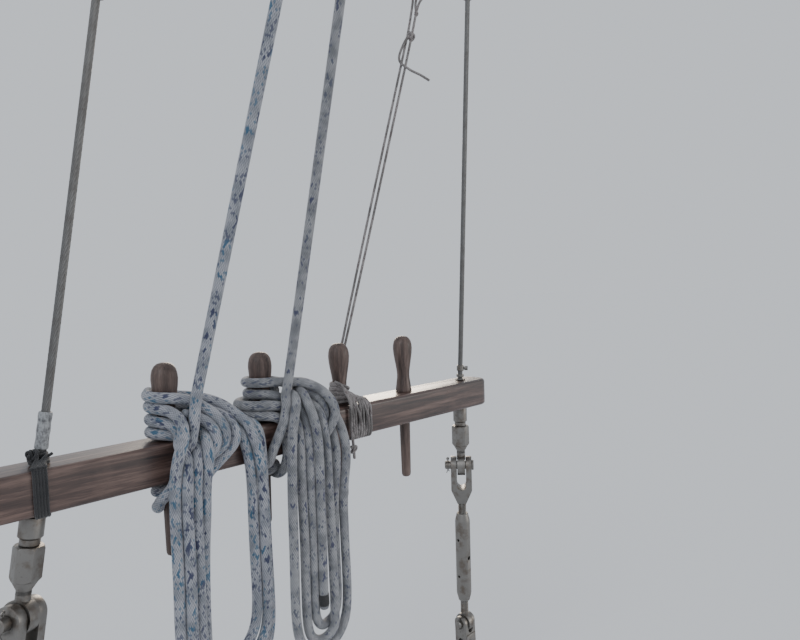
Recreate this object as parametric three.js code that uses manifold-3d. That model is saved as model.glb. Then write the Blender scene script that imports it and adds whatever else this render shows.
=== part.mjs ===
// Pin rail of a sailing yacht: a hardwood rail carried by two wire shrouds, with four belaying pins,
// two halyards and a thin line made fast on them, and each shroud's turnbuckle down to its chainplate.
// Millimetres. X runs along the rail, +Y points outboard, +Z up.
// Shapes are laid out in the rail's frame, with pin 1's axis at x = y = 0 and the rail's top at z = 0.
// The exported group then moves that frame so that its origin is on the left chainplate's back face.
import * as THREE from "three";
import { mergeVertices } from "three/addons/utils/BufferGeometryUtils.js";
import Module from "manifold-3d";

const wasm = await Module();
wasm.setup();

// Running gap between solids that touch, and how close two corners of a cut solid count as one
const GAP = 0.3;
const WELD = 0.02;
const DEGREE = Math.PI / 180;

// Rail
const RAIL_LEFT = -226;
const RAIL_RIGHT = 668;
const RAIL_HEIGHT = 51;
const RAIL_DEPTH = 62;
const RAIL_CORNER = 26;
const RAIL_EDGE = 6;

// Belaying pins, 254 mm long, at the places along the rail where their holes are drilled
const PIN_CENTRES = [0, 147, 299, 450];
const PIN_BOTTOM = -154;
const PIN_SHANK_RADIUS = 9.3;
const PIN_TIP_RADIUS = 8.2;
const PIN_HOLE_RADIUS = 9.9;
// [radius, height] up the outside of a belaying pin above the rail
const PIN_HEAD_PROFILE = [
  [14.1, GAP],
  [14.1, 4],
  [12.2, 19],
  [11.1, 27],
  [11.5, 36],
  [13.2, 48],
  [16.6, 70],
  [17.1, 78],
  [16.2, 86.5],
  [13, 94],
  [8, 98.3],
  [0, 99.7],
];

// Shroud wire and its fittings, as distances along the shroud from the rail's top
const WIRE_RADIUS = 4.75;
const WIRE_HOLE_RADIUS = 6.2;
const TERMINAL_RADIUS = 13.5;
const TERMINAL_NECK_RADIUS = 11;
const HEX_RADIUS = 17;
const SHANK_RADIUS = 7;
const EYE_RADIUS = 20;
const EYE_THICKNESS = 12.5;
const CLEVIS_PIN_RADIUS = 8;
const CLEVIS_HOLE_RADIUS = 8.6;
const CLEVIS_DROP = 171.6;
const JAW_WIDTH = 41;
const JAW_SLOT = 18;
const STUD_RADIUS = 8;
const BODY_RADIUS = 15;
const BODY_BORE_RADIUS = 8.4;
const BODY_LENGTH = 183;
const BODY_TOP = -98.4;
const STUD_GRIP = 62;
const LOWER_EYE_DROP = 328.4;
const TOGGLE_PIN_SPACING = 50;
const TOGGLE_PIN_RADIUS = 7;
const TOGGLE_HOLE_RADIUS = 7.4;
const CHAINPLATE_THICKNESS = 10;
const CHAINPLATE_WIDTH = 44;
const CHAINPLATE_LENGTH = 210;

// Thin line, and the sides and least step of a rope's tube as a share of its radius
const LINE_RADIUS = 2.4;
const TUBE_SIDES = 8;
const TUBE_STEP = 3;

// Materials, by the name that a piece asks for
const FINISHES = {
  varnished_wood: { color: 0x3c2420, roughness: 0.42, metalness: 0 },
  pin_wood: { color: 0x3a2f2a, roughness: 0.55, metalness: 0 },
  stainless: { color: 0x8c8f92, roughness: 0.35, metalness: 1 },
  wire: { color: 0x6f7275, roughness: 0.5, metalness: 1 },
  sleeve: { color: 0xa7abb0, roughness: 0.6, metalness: 0 },
  tarred_cord: { color: 0x1d1f23, roughness: 0.85, metalness: 0 },
  fleck_rope: { color: 0xc9ced6, roughness: 0.85, metalness: 0 },
  plain_rope: { color: 0xc4c4c2, roughness: 0.85, metalness: 0 },
  thin_line: { color: 0x9a9084, roughness: 0.85, metalness: 0 },
};

// One row per shroud: where the wire crosses the rail's top and its lean up the rig towards +X and
// inboard, the same for the line of fittings below the rail, the turn of the upper jaw, how far the
// terminal starts below the rail's top, and the length of wire above the rail.
const SHROUDS = [
  {
    side: "left", x: -153.9, lean: [8.66, 3], lowerX: -153.9, lowerLean: [8.66, 3],
    turn: 30, terminalTop: -57.2, wireTop: 565,
  },
  {
    side: "right", x: 612.4, lean: [1.85, 2], lowerX: 609.8, lowerLean: [-2.08, 2],
    turn: -51.7, terminalTop: -53.2, wireTop: 760,
  },
];

function material(finish) {
  return new THREE.MeshStandardMaterial(FINISHES[finish]);
}

function solidOf(geometry, weld = 1e-4) {
  const bare = geometry.index ? geometry.toNonIndexed() : geometry.clone();
  bare.deleteAttribute("normal");
  bare.deleteAttribute("uv");
  const merged = mergeVertices(bare, weld);
  return new wasm.Manifold(
    new wasm.Mesh({
      numProp: 3,
      vertProperties: merged.attributes.position.array,
      triVerts: new Uint32Array(merged.index.array),
    }),
  );
}

function geometryOf(solid) {
  const data = solid.getMesh();
  const points = new Float32Array(data.numVert * 3);
  for (let i = 0; i < data.numVert; i += 1) {
    points.set(data.vertProperties.subarray(i * data.numProp, i * data.numProp + 3), i * 3);
  }
  const geometry = new THREE.BufferGeometry();
  geometry.setAttribute("position", new THREE.BufferAttribute(points, 3));
  geometry.setIndex(new THREE.BufferAttribute(data.triVerts, 1));
  geometry.computeVertexNormals();
  return geometry;
}

// Joins the first geometry with the added ones, keeps what lies inside others, then cuts tools out.
function shaped(base, { add = [], keep = [], cut = [] }) {
  let solid = solidOf(base);
  for (const extra of add) {
    solid = solid.add(solidOf(extra));
  }
  for (const outline of keep) {
    solid = solid.intersect(solidOf(outline));
  }
  for (const tool of cut) {
    solid = solid.subtract(solidOf(tool));
  }
  return geometryOf(solidOf(geometryOf(solid), WELD));
}

// A turned shape about Z from [radius, height] pairs, listed from the bottom up.
function turned(profile, sides = 24) {
  const points = profile.map(([radius, height]) => new THREE.Vector2(radius, height));
  return new THREE.LatheGeometry(points, sides).rotateX(Math.PI / 2);
}

// A straight round bar about Z between two heights.
function bar(radius, bottom, top, sides = 24) {
  const geometry = new THREE.CylinderGeometry(radius, radius, top - bottom, sides);
  return geometry.rotateX(Math.PI / 2).translate(0, 0, (bottom + top) / 2);
}

function block(size, centre) {
  return new THREE.BoxGeometry(...size).translate(...centre);
}

function alongX(geometry) {
  return geometry.rotateY(Math.PI / 2);
}

function alongY(geometry) {
  return geometry.rotateX(-Math.PI / 2);
}

// A round tube along a smooth curve through the points, its flats a clearance outside the radius.
function tube(points, radius, { growth = 0, step = TUBE_STEP } = {}) {
  const vectors = points.map((p) => new THREE.Vector3(...p));
  const path = new THREE.CatmullRomCurve3(vectors, false, "centripetal");
  const steps = Math.ceil(path.getLength() / (radius * step));
  const corner = radius + growth / Math.cos(Math.PI / TUBE_SIDES);
  const section = new THREE.Shape();
  for (let i = 0; i < TUBE_SIDES; i += 1) {
    const angle = (2 * Math.PI * (i + 0.2)) / TUBE_SIDES;
    const point = [corner * Math.cos(angle), corner * Math.sin(angle)];
    if (i === 0) section.moveTo(...point);
    else section.lineTo(...point);
  }
  return new THREE.ExtrudeGeometry(section, { steps, bevelEnabled: false, extrudePath: path });
}

// A plan or side outline as a rectangle with round corners.
function roundedRectangle(width, height, radius) {
  const [x, y] = [width / 2, height / 2];
  const shape = new THREE.Shape();
  shape.moveTo(-x + radius, -y);
  shape.lineTo(x - radius, -y);
  shape.absarc(x - radius, -y + radius, radius, -Math.PI / 2, 0, false);
  shape.lineTo(x, y - radius);
  shape.absarc(x - radius, y - radius, radius, 0, Math.PI / 2, false);
  shape.lineTo(-x + radius, y);
  shape.absarc(-x + radius, y - radius, radius, Math.PI / 2, Math.PI, false);
  shape.lineTo(-x, -y + radius);
  shape.absarc(-x + radius, -y + radius, radius, Math.PI, 1.5 * Math.PI, false);
  return shape;
}

// A round eye about X, centred on the origin.
function disc(radius, thickness) {
  return alongX(bar(radius, -thickness / 2, thickness / 2, 28));
}

// A flat lug in the XZ plane: a round head of the given radius at height 0 with a hole through it
// and a straight tail down, thickness along Y.
function lug(radius, holeRadius, length, thickness) {
  const shape = new THREE.Shape();
  shape.moveTo(radius, 0);
  shape.absarc(0, 0, radius, 0, Math.PI, false);
  shape.lineTo(-radius, -2 * radius);
  shape.lineTo(-radius, -length);
  shape.lineTo(radius, -length);
  shape.lineTo(radius, -2 * radius);
  const hole = new THREE.Path();
  hole.absarc(0, 0, holeRadius, 0, 2 * Math.PI, true);
  shape.holes.push(hole);
  const geometry = new THREE.ExtrudeGeometry(shape, { depth: thickness, bevelEnabled: false, curveSegments: 16 });
  return geometry.translate(0, 0, -thickness / 2).rotateX(Math.PI / 2);
}

const railFrame = new THREE.Group();

function place(name, geometry, finish, parent = railFrame) {
  const mesh = new THREE.Mesh(geometry, material(finish));
  mesh.name = name;
  parent.add(mesh);
  return mesh;
}

// A frame on a shroud: its Z axis leans by the two angles, then it is turned about itself.
function leaningFrame(position, [towardsX, inboard], turn = 0) {
  const frame = new THREE.Group();
  const aboutY = towardsX * DEGREE;
  const aboutX = Math.atan(Math.tan(inboard * DEGREE) * Math.cos(aboutY));
  frame.position.set(...position);
  frame.rotation.set(aboutX, aboutY, turn * DEGREE, "YXZ");
  railFrame.add(frame);
  frame.updateMatrixWorld(true);
  return frame;
}

// The point of a leaning frame's own axis at a distance along it, in the rail's frame.
function onAxis(frame, distance) {
  return new THREE.Vector3(0, 0, distance).applyMatrix4(frame.matrix).toArray();
}

// The rail's outer form, grown by a clearance on every side.
function railBody(growth = 0) {
  const length = RAIL_RIGHT - RAIL_LEFT;
  const plan = roundedRectangle(length - 2 * RAIL_EDGE, RAIL_DEPTH - 2 * RAIL_EDGE, RAIL_CORNER - RAIL_EDGE);
  const body = new THREE.ExtrudeGeometry(plan, {
    depth: RAIL_HEIGHT - 2 * RAIL_EDGE,
    bevelSize: RAIL_EDGE + growth,
    bevelThickness: RAIL_EDGE + growth,
    bevelSegments: 2,
    curveSegments: 4,
  });
  return body.translate((RAIL_LEFT + RAIL_RIGHT) / 2, 0, RAIL_EDGE - RAIL_HEIGHT);
}

function railGeometry() {
  const holes = PIN_CENTRES.map((x) => bar(PIN_HOLE_RADIUS, -RAIL_HEIGHT - 5, 5).translate(x, 0, 0));
  for (const { x, lean } of SHROUDS) {
    const frame = leaningFrame([x, 0, 0], lean);
    holes.push(bar(WIRE_HOLE_RADIUS, -RAIL_HEIGHT - 10, 10).applyMatrix4(frame.matrix));
    railFrame.remove(frame);
  }
  return shaped(railBody(), { cut: holes });
}

// A belaying pin, grown by a clearance on every side.
function pinGeometry(growth = 0) {
  const profile = [
    [PIN_TIP_RADIUS - 2.5, PIN_BOTTOM + 0.8],
    [PIN_TIP_RADIUS, PIN_BOTTOM + 5],
    [PIN_SHANK_RADIUS, -RAIL_HEIGHT - 10],
    [PIN_SHANK_RADIUS, GAP],
    ...PIN_HEAD_PROFILE.slice(0, -1),
  ];
  const top = PIN_HEAD_PROFILE.at(-1)[1] + growth;
  const outside = profile.map(([radius, height]) => [radius + growth, height]);
  return turned([[0, PIN_BOTTOM - growth], ...outside, [0, top]], 20);
}

// Stacked rope turns as one turned solid, from each turn's outer radius and height, bottom first.
function stackedTurns(turns, ropeRadius, growth = 0) {
  const outside = turns.flatMap(([outer, z]) => [
    [outer + growth - 0.45 * ropeRadius, z - 0.86 * ropeRadius],
    [outer + growth, z],
    [outer + growth - 0.45 * ropeRadius, z + 0.86 * ropeRadius],
  ]);
  const bottom = outside[0][1] - growth;
  const top = outside.at(-1)[1] + growth;
  return turned([[0, bottom], ...outside, [0, top]], 20);
}

function terminalGeometry(top) {
  const body = turned([
    [0, -144],
    [SHANK_RADIUS, -143],
    [SHANK_RADIUS, -142],
    [HEX_RADIUS - 2, -131],
    [HEX_RADIUS - 3, -91],
    [TERMINAL_NECK_RADIUS, -90],
    [TERMINAL_NECK_RADIUS, -83],
    [TERMINAL_RADIUS, -81],
    [TERMINAL_RADIUS, top - 1.5],
    [TERMINAL_RADIUS - 1.5, top],
    [0, top],
  ]);
  const hex = bar(HEX_RADIUS, -130.5, -91, 6);
  const shank = bar(SHANK_RADIUS, -CLEVIS_DROP + 12, -142);
  const eye = disc(EYE_RADIUS, EYE_THICKNESS).translate(0, 0, -CLEVIS_DROP);
  const hole = alongX(bar(CLEVIS_HOLE_RADIUS, -20, 20)).translate(0, 0, -CLEVIS_DROP);
  return shaped(body, { add: [hex, shank, eye], cut: [hole] });
}

// Upper jaw with its threaded stud, from the clevis pin's centre; the pin runs along X.
function jawGeometry() {
  const [cheekTop, slotEnd, taperTop, taperEnd] = [17.6, -46.6, -49.6, -77.6];
  const outline = new THREE.Shape();
  outline.moveTo(-STUD_RADIUS - 0.5, taperEnd);
  outline.lineTo(STUD_RADIUS + 0.5, taperEnd);
  outline.lineTo(JAW_WIDTH / 2, taperTop);
  outline.lineTo(JAW_WIDTH / 2, cheekTop);
  outline.lineTo(JAW_SLOT / 2, cheekTop);
  outline.lineTo(JAW_SLOT / 2, slotEnd + JAW_SLOT / 2);
  outline.absarc(0, slotEnd + JAW_SLOT / 2, JAW_SLOT / 2, 0, Math.PI, true);
  outline.lineTo(-JAW_SLOT / 2, cheekTop);
  outline.lineTo(-JAW_WIDTH / 2, cheekTop);
  outline.lineTo(-JAW_WIDTH / 2, taperTop);
  const depth = 2 * cheekTop + 4;
  const fork = new THREE.ExtrudeGeometry(outline, { depth, bevelEnabled: false, curveSegments: 12 });
  fork.translate(0, 0, -depth / 2).rotateX(Math.PI / 2);
  const stud = bar(STUD_RADIUS, BODY_TOP - STUD_GRIP, taperEnd + 4);
  const hole = alongX(bar(CLEVIS_HOLE_RADIUS - GAP, -30, 30));
  const side = new THREE.Shape();
  side.moveTo(-STUD_RADIUS, BODY_TOP - STUD_GRIP);
  side.lineTo(STUD_RADIUS, BODY_TOP - STUD_GRIP);
  side.lineTo(STUD_RADIUS, taperEnd);
  side.lineTo(cheekTop, taperTop + 8);
  side.absarc(0, 0, cheekTop, 0, Math.PI, false);
  side.lineTo(-cheekTop, taperTop + 8);
  side.lineTo(-STUD_RADIUS, taperEnd);
  const sideView = new THREE.ExtrudeGeometry(side, { depth: 60, bevelEnabled: false, curveSegments: 16 });
  sideView.translate(0, 0, -30).rotateX(Math.PI / 2).rotateZ(Math.PI / 2);
  return shaped(fork, { add: [stud], keep: [sideView], cut: [hole] });
}

// A clevis pin along X with its head at +X and the cotter's end at -X.
function clevisPinGeometry(radius, headRadius, halfGrip, tail) {
  const head = 4.3;
  return alongX(
    turned([
      [0, -halfGrip - tail],
      [radius - 1.5, -halfGrip - tail],
      [radius, -halfGrip - tail + 1.5],
      [radius, halfGrip + GAP],
      [headRadius, halfGrip + GAP],
      [headRadius, halfGrip + head - 1],
      [headRadius - 1, halfGrip + head],
      [0, halfGrip + head],
    ]),
  );
}

// Closed round turnbuckle body with tapered shoulders, bored for the studs.
function bodyGeometry() {
  const bottom = BODY_TOP - BODY_LENGTH;
  const shoulder = 16;
  const lip = 11.5;
  return turned([
    [BODY_BORE_RADIUS, bottom],
    [lip - 1, bottom],
    [lip, bottom + 1],
    [BODY_RADIUS, bottom + shoulder],
    [BODY_RADIUS, BODY_TOP - shoulder],
    [lip, BODY_TOP - 1],
    [lip - 1, BODY_TOP],
    [BODY_BORE_RADIUS, BODY_TOP],
    [BODY_BORE_RADIUS, bottom],
  ]);
}

// Lower stud with its eye; the toggle's upper pin runs along X.
function lowerStudGeometry() {
  const eyeThickness = 12;
  const top = BODY_TOP - BODY_LENGTH + STUD_GRIP;
  const stud = bar(STUD_RADIUS, -LOWER_EYE_DROP + 19, top);
  const neck = bar(6, -LOWER_EYE_DROP + 12, -LOWER_EYE_DROP + 20);
  const eye = disc(18, eyeThickness).translate(0, 0, -LOWER_EYE_DROP);
  const hole = alongX(bar(TOGGLE_HOLE_RADIUS, -20, 20)).translate(0, 0, -LOWER_EYE_DROP);
  return shaped(stud, { add: [neck, eye], cut: [hole] });
}

// Toggle from its upper pin's centre: an upper jaw across X and a lower jaw across Y.
function toggleGeometry() {
  const slot = 13.4;
  const cheek = 9;
  const width = slot + 2 * cheek;
  const reach = 15;
  const middle = -TOGGLE_PIN_SPACING / 2;
  const upper = block([width, 28, reach - middle], [0, 0, (reach + middle) / 2]);
  const lower = block([28, width, reach - middle], [0, 0, middle - (reach - middle) / 2]);
  const upperSlot = block([slot, 40, 60], [0, 0, middle + 6 + 30]);
  const lowerSlot = block([40, slot, 60], [0, 0, middle - 6 - 30]);
  const upperHole = alongX(bar(TOGGLE_HOLE_RADIUS, -30, 30));
  const lowerHole = alongY(bar(TOGGLE_HOLE_RADIUS, -30, 30)).translate(0, 0, -TOGGLE_PIN_SPACING);
  return shaped(upper, { add: [lower], cut: [upperSlot, lowerSlot, upperHole, lowerHole] });
}

// Strap chainplate from its pin hole down; the hole runs along Y.
function chainplateGeometry() {
  return lug(CHAINPLATE_WIDTH / 2 - 4, TOGGLE_HOLE_RADIUS, CHAINPLATE_LENGTH, CHAINPLATE_THICKNESS);
}

// A ring eye at the end of a standing part, in the XZ plane: a round ring on a short stem down.
function topEyeGeometry(ringRadius, wireRadius, stemRadius, stemLength) {
  const ring = new THREE.TorusGeometry(ringRadius, wireRadius, 8, 24).rotateX(Math.PI / 2);
  const stem = bar(stemRadius, -ringRadius - stemLength, -ringRadius + wireRadius / 2, 20);
  return { ring, stem };
}

function buildShroud({ side, x, lean, lowerX, lowerLean, turn, terminalTop, wireTop }) {
  const wireFrame = leaningFrame([x, 0, 0], lean);
  place(`${side}_shroud_wire`, bar(WIRE_RADIUS, terminalTop + 0.7, wireTop, 16), "wire", wireFrame);

  const { ring, stem } = topEyeGeometry(16, 5, 9, 70);
  const eyeHeight = wireTop + 60;
  ring.translate(0, 0, eyeHeight);
  stem.translate(0, 0, eyeHeight);
  const socket = bar(WIRE_RADIUS + GAP, eyeHeight - 120, wireTop + GAP, 16);
  place(`${side}_shroud_top_eye`, shaped(ring, { add: [stem], cut: [socket] }), "stainless", wireFrame);

  const terminalFrame = leaningFrame([lowerX, 0, 0], lowerLean, turn);
  place(`${side}_terminal`, terminalGeometry(terminalTop), "stainless", terminalFrame);

  const clevisPoint = onAxis(terminalFrame, -CLEVIS_DROP);
  const jawFrame = leaningFrame(clevisPoint, lowerLean, turn);
  place(`${side}_upper_jaw`, jawGeometry(), "stainless", jawFrame);
  place(`${side}_clevis_pin`, clevisPinGeometry(CLEVIS_PIN_RADIUS, 10, JAW_WIDTH / 2, 12), "stainless", jawFrame);

  const screwFrame = leaningFrame(clevisPoint, lowerLean);
  place(`${side}_turnbuckle_body`, bodyGeometry(), "stainless", screwFrame);
  place(`${side}_lower_stud`, lowerStudGeometry(), "stainless", screwFrame);

  const togglePoint = onAxis(screwFrame, -LOWER_EYE_DROP);
  const hullFrame = leaningFrame(togglePoint, [lowerLean[0], 0]);
  place(`${side}_toggle`, toggleGeometry(), "stainless", hullFrame);
  const pin = () => clevisPinGeometry(TOGGLE_PIN_RADIUS, 9.5, 15.7, 6);
  place(`${side}_toggle_pin`, pin(), "stainless", hullFrame);
  const lowerPin = pin().rotateZ(Math.PI / 2).translate(0, 0, -TOGGLE_PIN_SPACING);
  place(`${side}_chainplate_pin`, lowerPin, "stainless", hullFrame);
  const plate = chainplateGeometry().translate(0, 0, -TOGGLE_PIN_SPACING);
  place(`${side}_chainplate`, plate, "stainless", hullFrame);
  return { wireFrame, hullFrame };
}

const built = Object.fromEntries(SHROUDS.map((row) => [row.side, buildShroud(row)]));

place("pin_rail", railGeometry(), "varnished_wood");
PIN_CENTRES.forEach((x, i) => {
  place(`belaying_pin_${i + 1}`, pinGeometry(), "pin_wood").position.set(x, 0, 0);
});

// Right shroud: washer on the rail and two stop collars, the upper one with its screw knob.
const rightWire = built.right.wireFrame;
const boreOfCollar = () => bar(WIRE_RADIUS + GAP, -90, 90);
place("right_rail_washer", shaped(bar(10, 1, 3.2), { cut: [boreOfCollar()] }), "stainless", rightWire);
place("right_lower_collar", shaped(bar(7.4, 6.5, 12), { cut: [boreOfCollar()] }), "stainless", rightWire);
const knob = alongX(bar(4, 5, 16, 14)).rotateZ(-50 * DEGREE).translate(0, 0, 24);
place("right_upper_collar", shaped(bar(7, 18.5, 29.5), { add: [knob], cut: [boreOfCollar()] }), "stainless", rightWire);

// Left shroud: grey sleeve, and the tarred seizing that binds the rail to the wire.
const { wireFrame: leftWire, hullFrame: leftHull } = built.left;
place("left_sleeve", shaped(bar(7.2, 17.6, 60, 20), { cut: [boreOfCollar()] }), "sleeve", leftWire);

// A band wrapped round the rail, from a place along it, as its outer form and its hollow.
function railBand(start, width, thickness) {
  const along = (growth, from, length) =>
    new THREE.ExtrudeGeometry(
      roundedRectangle(RAIL_DEPTH + 2 * growth, RAIL_HEIGHT + 2 * growth, RAIL_EDGE + growth),
      { depth: length, bevelEnabled: false, curveSegments: 4 },
    )
      .translate(0, 0, from)
      .rotateX(Math.PI / 2)
      .rotateZ(Math.PI / 2)
      .translate(0, 0, -RAIL_HEIGHT / 2);
  return { outer: along(thickness, start, width), hollow: along(GAP, start - 10, width + 20) };
}

function seizingGeometry() {
  const { outer, hollow } = railBand(-13, 24, 3.6);
  const clump = turned([
    [0, 1],
    [14, 1],
    [15, 6],
    [12, 12],
    [8.5, 16],
    [0, 16],
  ], 20);
  const lump = new THREE.SphereGeometry(9, 10, 7).translate(-15, -10, 11);
  const tail = tube([[8, -6, 8], [14, -9, 9], [20, -12, 14]], 3);
  const bore = bar(WIRE_RADIUS + GAP, -90, 60, 20).applyMatrix4(new THREE.Matrix4().extractRotation(leftWire.matrix));
  return shaped(outer, { add: [clump, lump, tail], cut: [hollow, bore] });
}
place("left_seizing", seizingGeometry(), "tarred_cord").position.set(SHROUDS[0].x, 0, 0);

// Halyards, one row each, in the rail's frame. The standing part comes down to its foot. Turns on
// the pin above the rail and on its shank are given by outer radius and height. Runs are the
// stretches that leave the turns: first the standing part's lower end, then the figures of eight
// across the rail's face to the shank, then the tops of the hanging loops, or the doubled bight.
const HALYARD_A = {
  name: "halyard_a",
  pinX: PIN_CENTRES[0],
  radius: 7.25,
  finish: "fleck_rope",
  foot: [20.7, -39, 50],
  lean: [8.16, 13],
  top: 577,
  turns: [[31.2, 11.5], [31.2, 28], [31.2, 44.5], [31.2, 61]],
  shankTurns: [[24.2, -91], [24.2, -76], [24.2, -61]],
  runs: [
    [[20.7, -39, 50], [17, -42, 30], [12, -46, 10], [5, -46, -14], [-5, -40, -44], [-11, -36, -58], [-16, -18, -64]],
    [[-3, -20, 56], [18, -24, 51], [37, -35, 39], [51, -47, 21], [58, -52, 4], [56, -51, -9], [46, -45, -20],
      [28, -39, -31], [4, -38.6, -48], [-4, -33, -62], [-8, -16, -74]],
    [[11, 18, 38], [36, 4, 37], [54, -18, 33], [70, -38, 19], [77, -47, -1], [73, -47, -14], [59, -42, -24],
      [38, -38.6, -33], [12, -38.6, -50], [6, -33, -66], [2, -16, -88]],
    [[4, -16, 34], [10, -29, 33], [20, -31, 32], [32, -42, 25], [42, -50, 10], [45, -52, -5], [39, -50, -17],
      [26, -46, -27], [10, -39, -40], [-4, -38, -56], [-8, -18, -66]],
    [[20, 12, 50], [40, 6, 48], [62, -16, 41], [82, -35, 22], [97, -46, -6], [105, -47.5, -22]],
    [[24, 14, 20], [44, 6, 16], [64, -12, 14], [80, -31, 12], [88, -39.5, -2], [94, -40, -22]],
    [[26, 14, 8.5], [52, 18, 8.5], [80, 2, 8.5], [98, -18, 8.5], [108, -33, 9], [114, -39.5, -3], [116, -39.5, -22]],
    [[-8, -20, 42], [-1, -34, 34], [-3, -50, 14], [-8, -56, 0]],
    [[-8, -20, 25], [2, -34, 16], [1, -48, 0]],
    [[-8, -20, 10], [4, -34, 8.5], [10, -46, 0]],
    [[20, -12, 20], [27, -22, 19], [31, -38, 11], [27, -48, 0]],
  ],
};
const HALYARD_B = {
  name: "halyard_b",
  pinX: PIN_CENTRES[1],
  radius: 7.3,
  finish: "plain_rope",
  foot: [166.2, -39, 50],
  lean: [4.88, 10],
  top: 610,
  turns: [[43.3, 12], [43.3, 26], [27, 40.5], [29.2, 57]],
  shankTurns: [[24.2, -75], [24.2, -61]],
  runs: [
    [[166.2, -39, 50], [163, -45, 32], [158, -49, 16], [151, -50, -2], [143, -45, -22], [134, -40, -42],
      [130, -32, -60], [136, -14, -70]],
    [[147, -36, 10], [156, -38, 8], [162, -40, -6], [160, -39, -30], [150, -36, -58], [146, -14, -66]],
    [[150, -18, 57], [158, -23, 56], [180, -31, 54], [203, -44, 48], [223, -52, 35], [236, -57, 19], [240, -60, 5],
      [236, -60, -8], [228, -52, -20], [222, -44, -30]],
    [[158, 16, 57], [168, 4, 55], [179, -12, 51], [190, -29, 46], [203, -39, 38], [219, -43, 26], [230, -45, 10],
      [232, -47, -3], [228, -45, -15], [222, -42, -28]],
  ],
};

// A coil's outline in the XZ plane, 2 * half thick about its middle depth, turned about Z at a pivot.
function hangingSlab(outline, { half, pivot, turn }) {
  const edge = 5;
  const geometry = new THREE.ExtrudeGeometry(outline, {
    depth: 2 * (half - edge),
    bevelSize: edge,
    bevelOffset: -edge,
    bevelThickness: edge,
    bevelSegments: 1,
    curveSegments: 7,
  });
  geometry.rotateX(Math.PI / 2).translate(-pivot[0], half - edge, 0).rotateZ(turn * DEGREE);
  return geometry.translate(...pivot, 0);
}

// Halyard A hangs as an open U: a bunch of four strands at the left, three at the right.
function coilOfHalyardA() {
  const outline = new THREE.Shape();
  outline.moveTo(-17, -GAP);
  outline.lineTo(-34, -70);
  outline.lineTo(-34, -292);
  outline.lineTo(-10, -292);
  outline.bezierCurveTo(5, -325, 36, -342, 66, -342);
  outline.bezierCurveTo(102, -342, 126, -318, 126, -284);
  outline.lineTo(126, -70);
  outline.lineTo(123, -22 - GAP);
  outline.lineTo(86, -22 - GAP);
  outline.lineTo(89, -70);
  outline.lineTo(89, -260);
  outline.bezierCurveTo(89, -282, 74, -293, 57, -293);
  outline.bezierCurveTo(38, -293, 25, -278, 25, -255);
  outline.lineTo(25, -70);
  outline.lineTo(34, -GAP);
  return hangingSlab(outline, { half: 9.5, pivot: [55, -52], turn: 7.5 });
}

// Halyard B hangs as one close bunch of loops whose tops pass over the rail.
function coilOfHalyardB() {
  const outline = new THREE.Shape();
  outline.moveTo(190, 50);
  outline.lineTo(166, 46);
  outline.lineTo(150, 0);
  outline.lineTo(144, -95);
  outline.lineTo(144, -300);
  outline.bezierCurveTo(148, -335, 170, -355, 199, -355);
  outline.bezierCurveTo(230, -355, 252, -335, 256, -300);
  outline.lineTo(264, -95);
  outline.lineTo(266, -50);
  outline.lineTo(258, -16);
  outline.lineTo(247, 4);
  return hangingSlab(outline, { half: 13.5, pivot: [205, -56.5], turn: 0 });
}

function loopTopsOfHalyardB() {
  return new THREE.SphereGeometry(1, 14, 9).scale(32, 32, 20).translate(205, -22, 22);
}

const ropesOf = ({ runs, radius }, growth) => runs.map((points) => tube(points, radius, { growth }));
const turnsOf = ({ pinX, turns, radius }, growth) => stackedTurns(turns, radius, growth).translate(pinX, 0, 0);

function turnsGeometry(halyard, standingFrame) {
  const { pinX, radius, shankTurns } = halyard;
  const lower = stackedTurns(shankTurns, radius).translate(pinX, 0, 0);
  const standing = bar(radius + GAP, 0, 200, 14).applyMatrix4(standingFrame.matrix);
  return shaped(turnsOf(halyard), {
    add: [lower, ...ropesOf(halyard)],
    cut: [railBody(GAP), pinGeometry(GAP).translate(pinX, 0, 0), standing],
  });
}

function coilGeometry(halyard, slab, extra) {
  return shaped(slab, {
    add: extra,
    cut: [railBody(GAP), turnsOf(halyard, GAP), ...ropesOf(halyard, GAP)],
  });
}

// A standing part's eye aloft: a ring of rope above a throat, from the rope's end at height 0.
function ropeEyeGeometry(radius) {
  const ringRadius = 22;
  const throatLength = 60;
  const ring = new THREE.TorusGeometry(ringRadius, radius - 0.5, 8, 20).rotateX(Math.PI / 2);
  ring.translate(0, 0, ringRadius + throatLength / 2);
  const throat = bar(radius + 3, -throatLength / 2, throatLength / 2 + 4, 14);
  const socket = bar(radius + GAP, -throatLength, GAP, 14);
  return shaped(ring, { add: [throat], cut: [socket] });
}

for (const halyard of [HALYARD_A, HALYARD_B]) {
  const { name, radius, finish, foot, lean, top } = halyard;
  const frame = leaningFrame(foot, lean);
  const length = top - foot[2];
  place(`${name}_turns`, turnsGeometry(halyard, frame), finish);
  place(`${name}_standing_part`, bar(radius, GAP, length, 14), finish, frame);
  place(`${name}_top_eye`, ropeEyeGeometry(radius).translate(0, 0, length), finish, frame);
}
place("halyard_a_coil", coilGeometry(HALYARD_A, coilOfHalyardA(), []), HALYARD_A.finish);
place("halyard_b_coil", coilGeometry(HALYARD_B, coilOfHalyardB(), [loopTopsOfHalyardB()]), HALYARD_B.finish);

// Thin line on pin 3: turns round the pin and the rail with a hanging end, and a doubled standing
// part whose two legs run up to a loop, tied together by knots, one with a free end.
const LINE = { pinX: PIN_CENTRES[2], foot: [302, 23, 3], lean: [14.7, 4.5], top: 735, spread: 3.4 };
const lineFrame = leaningFrame(LINE.foot, LINE.lean);

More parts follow.
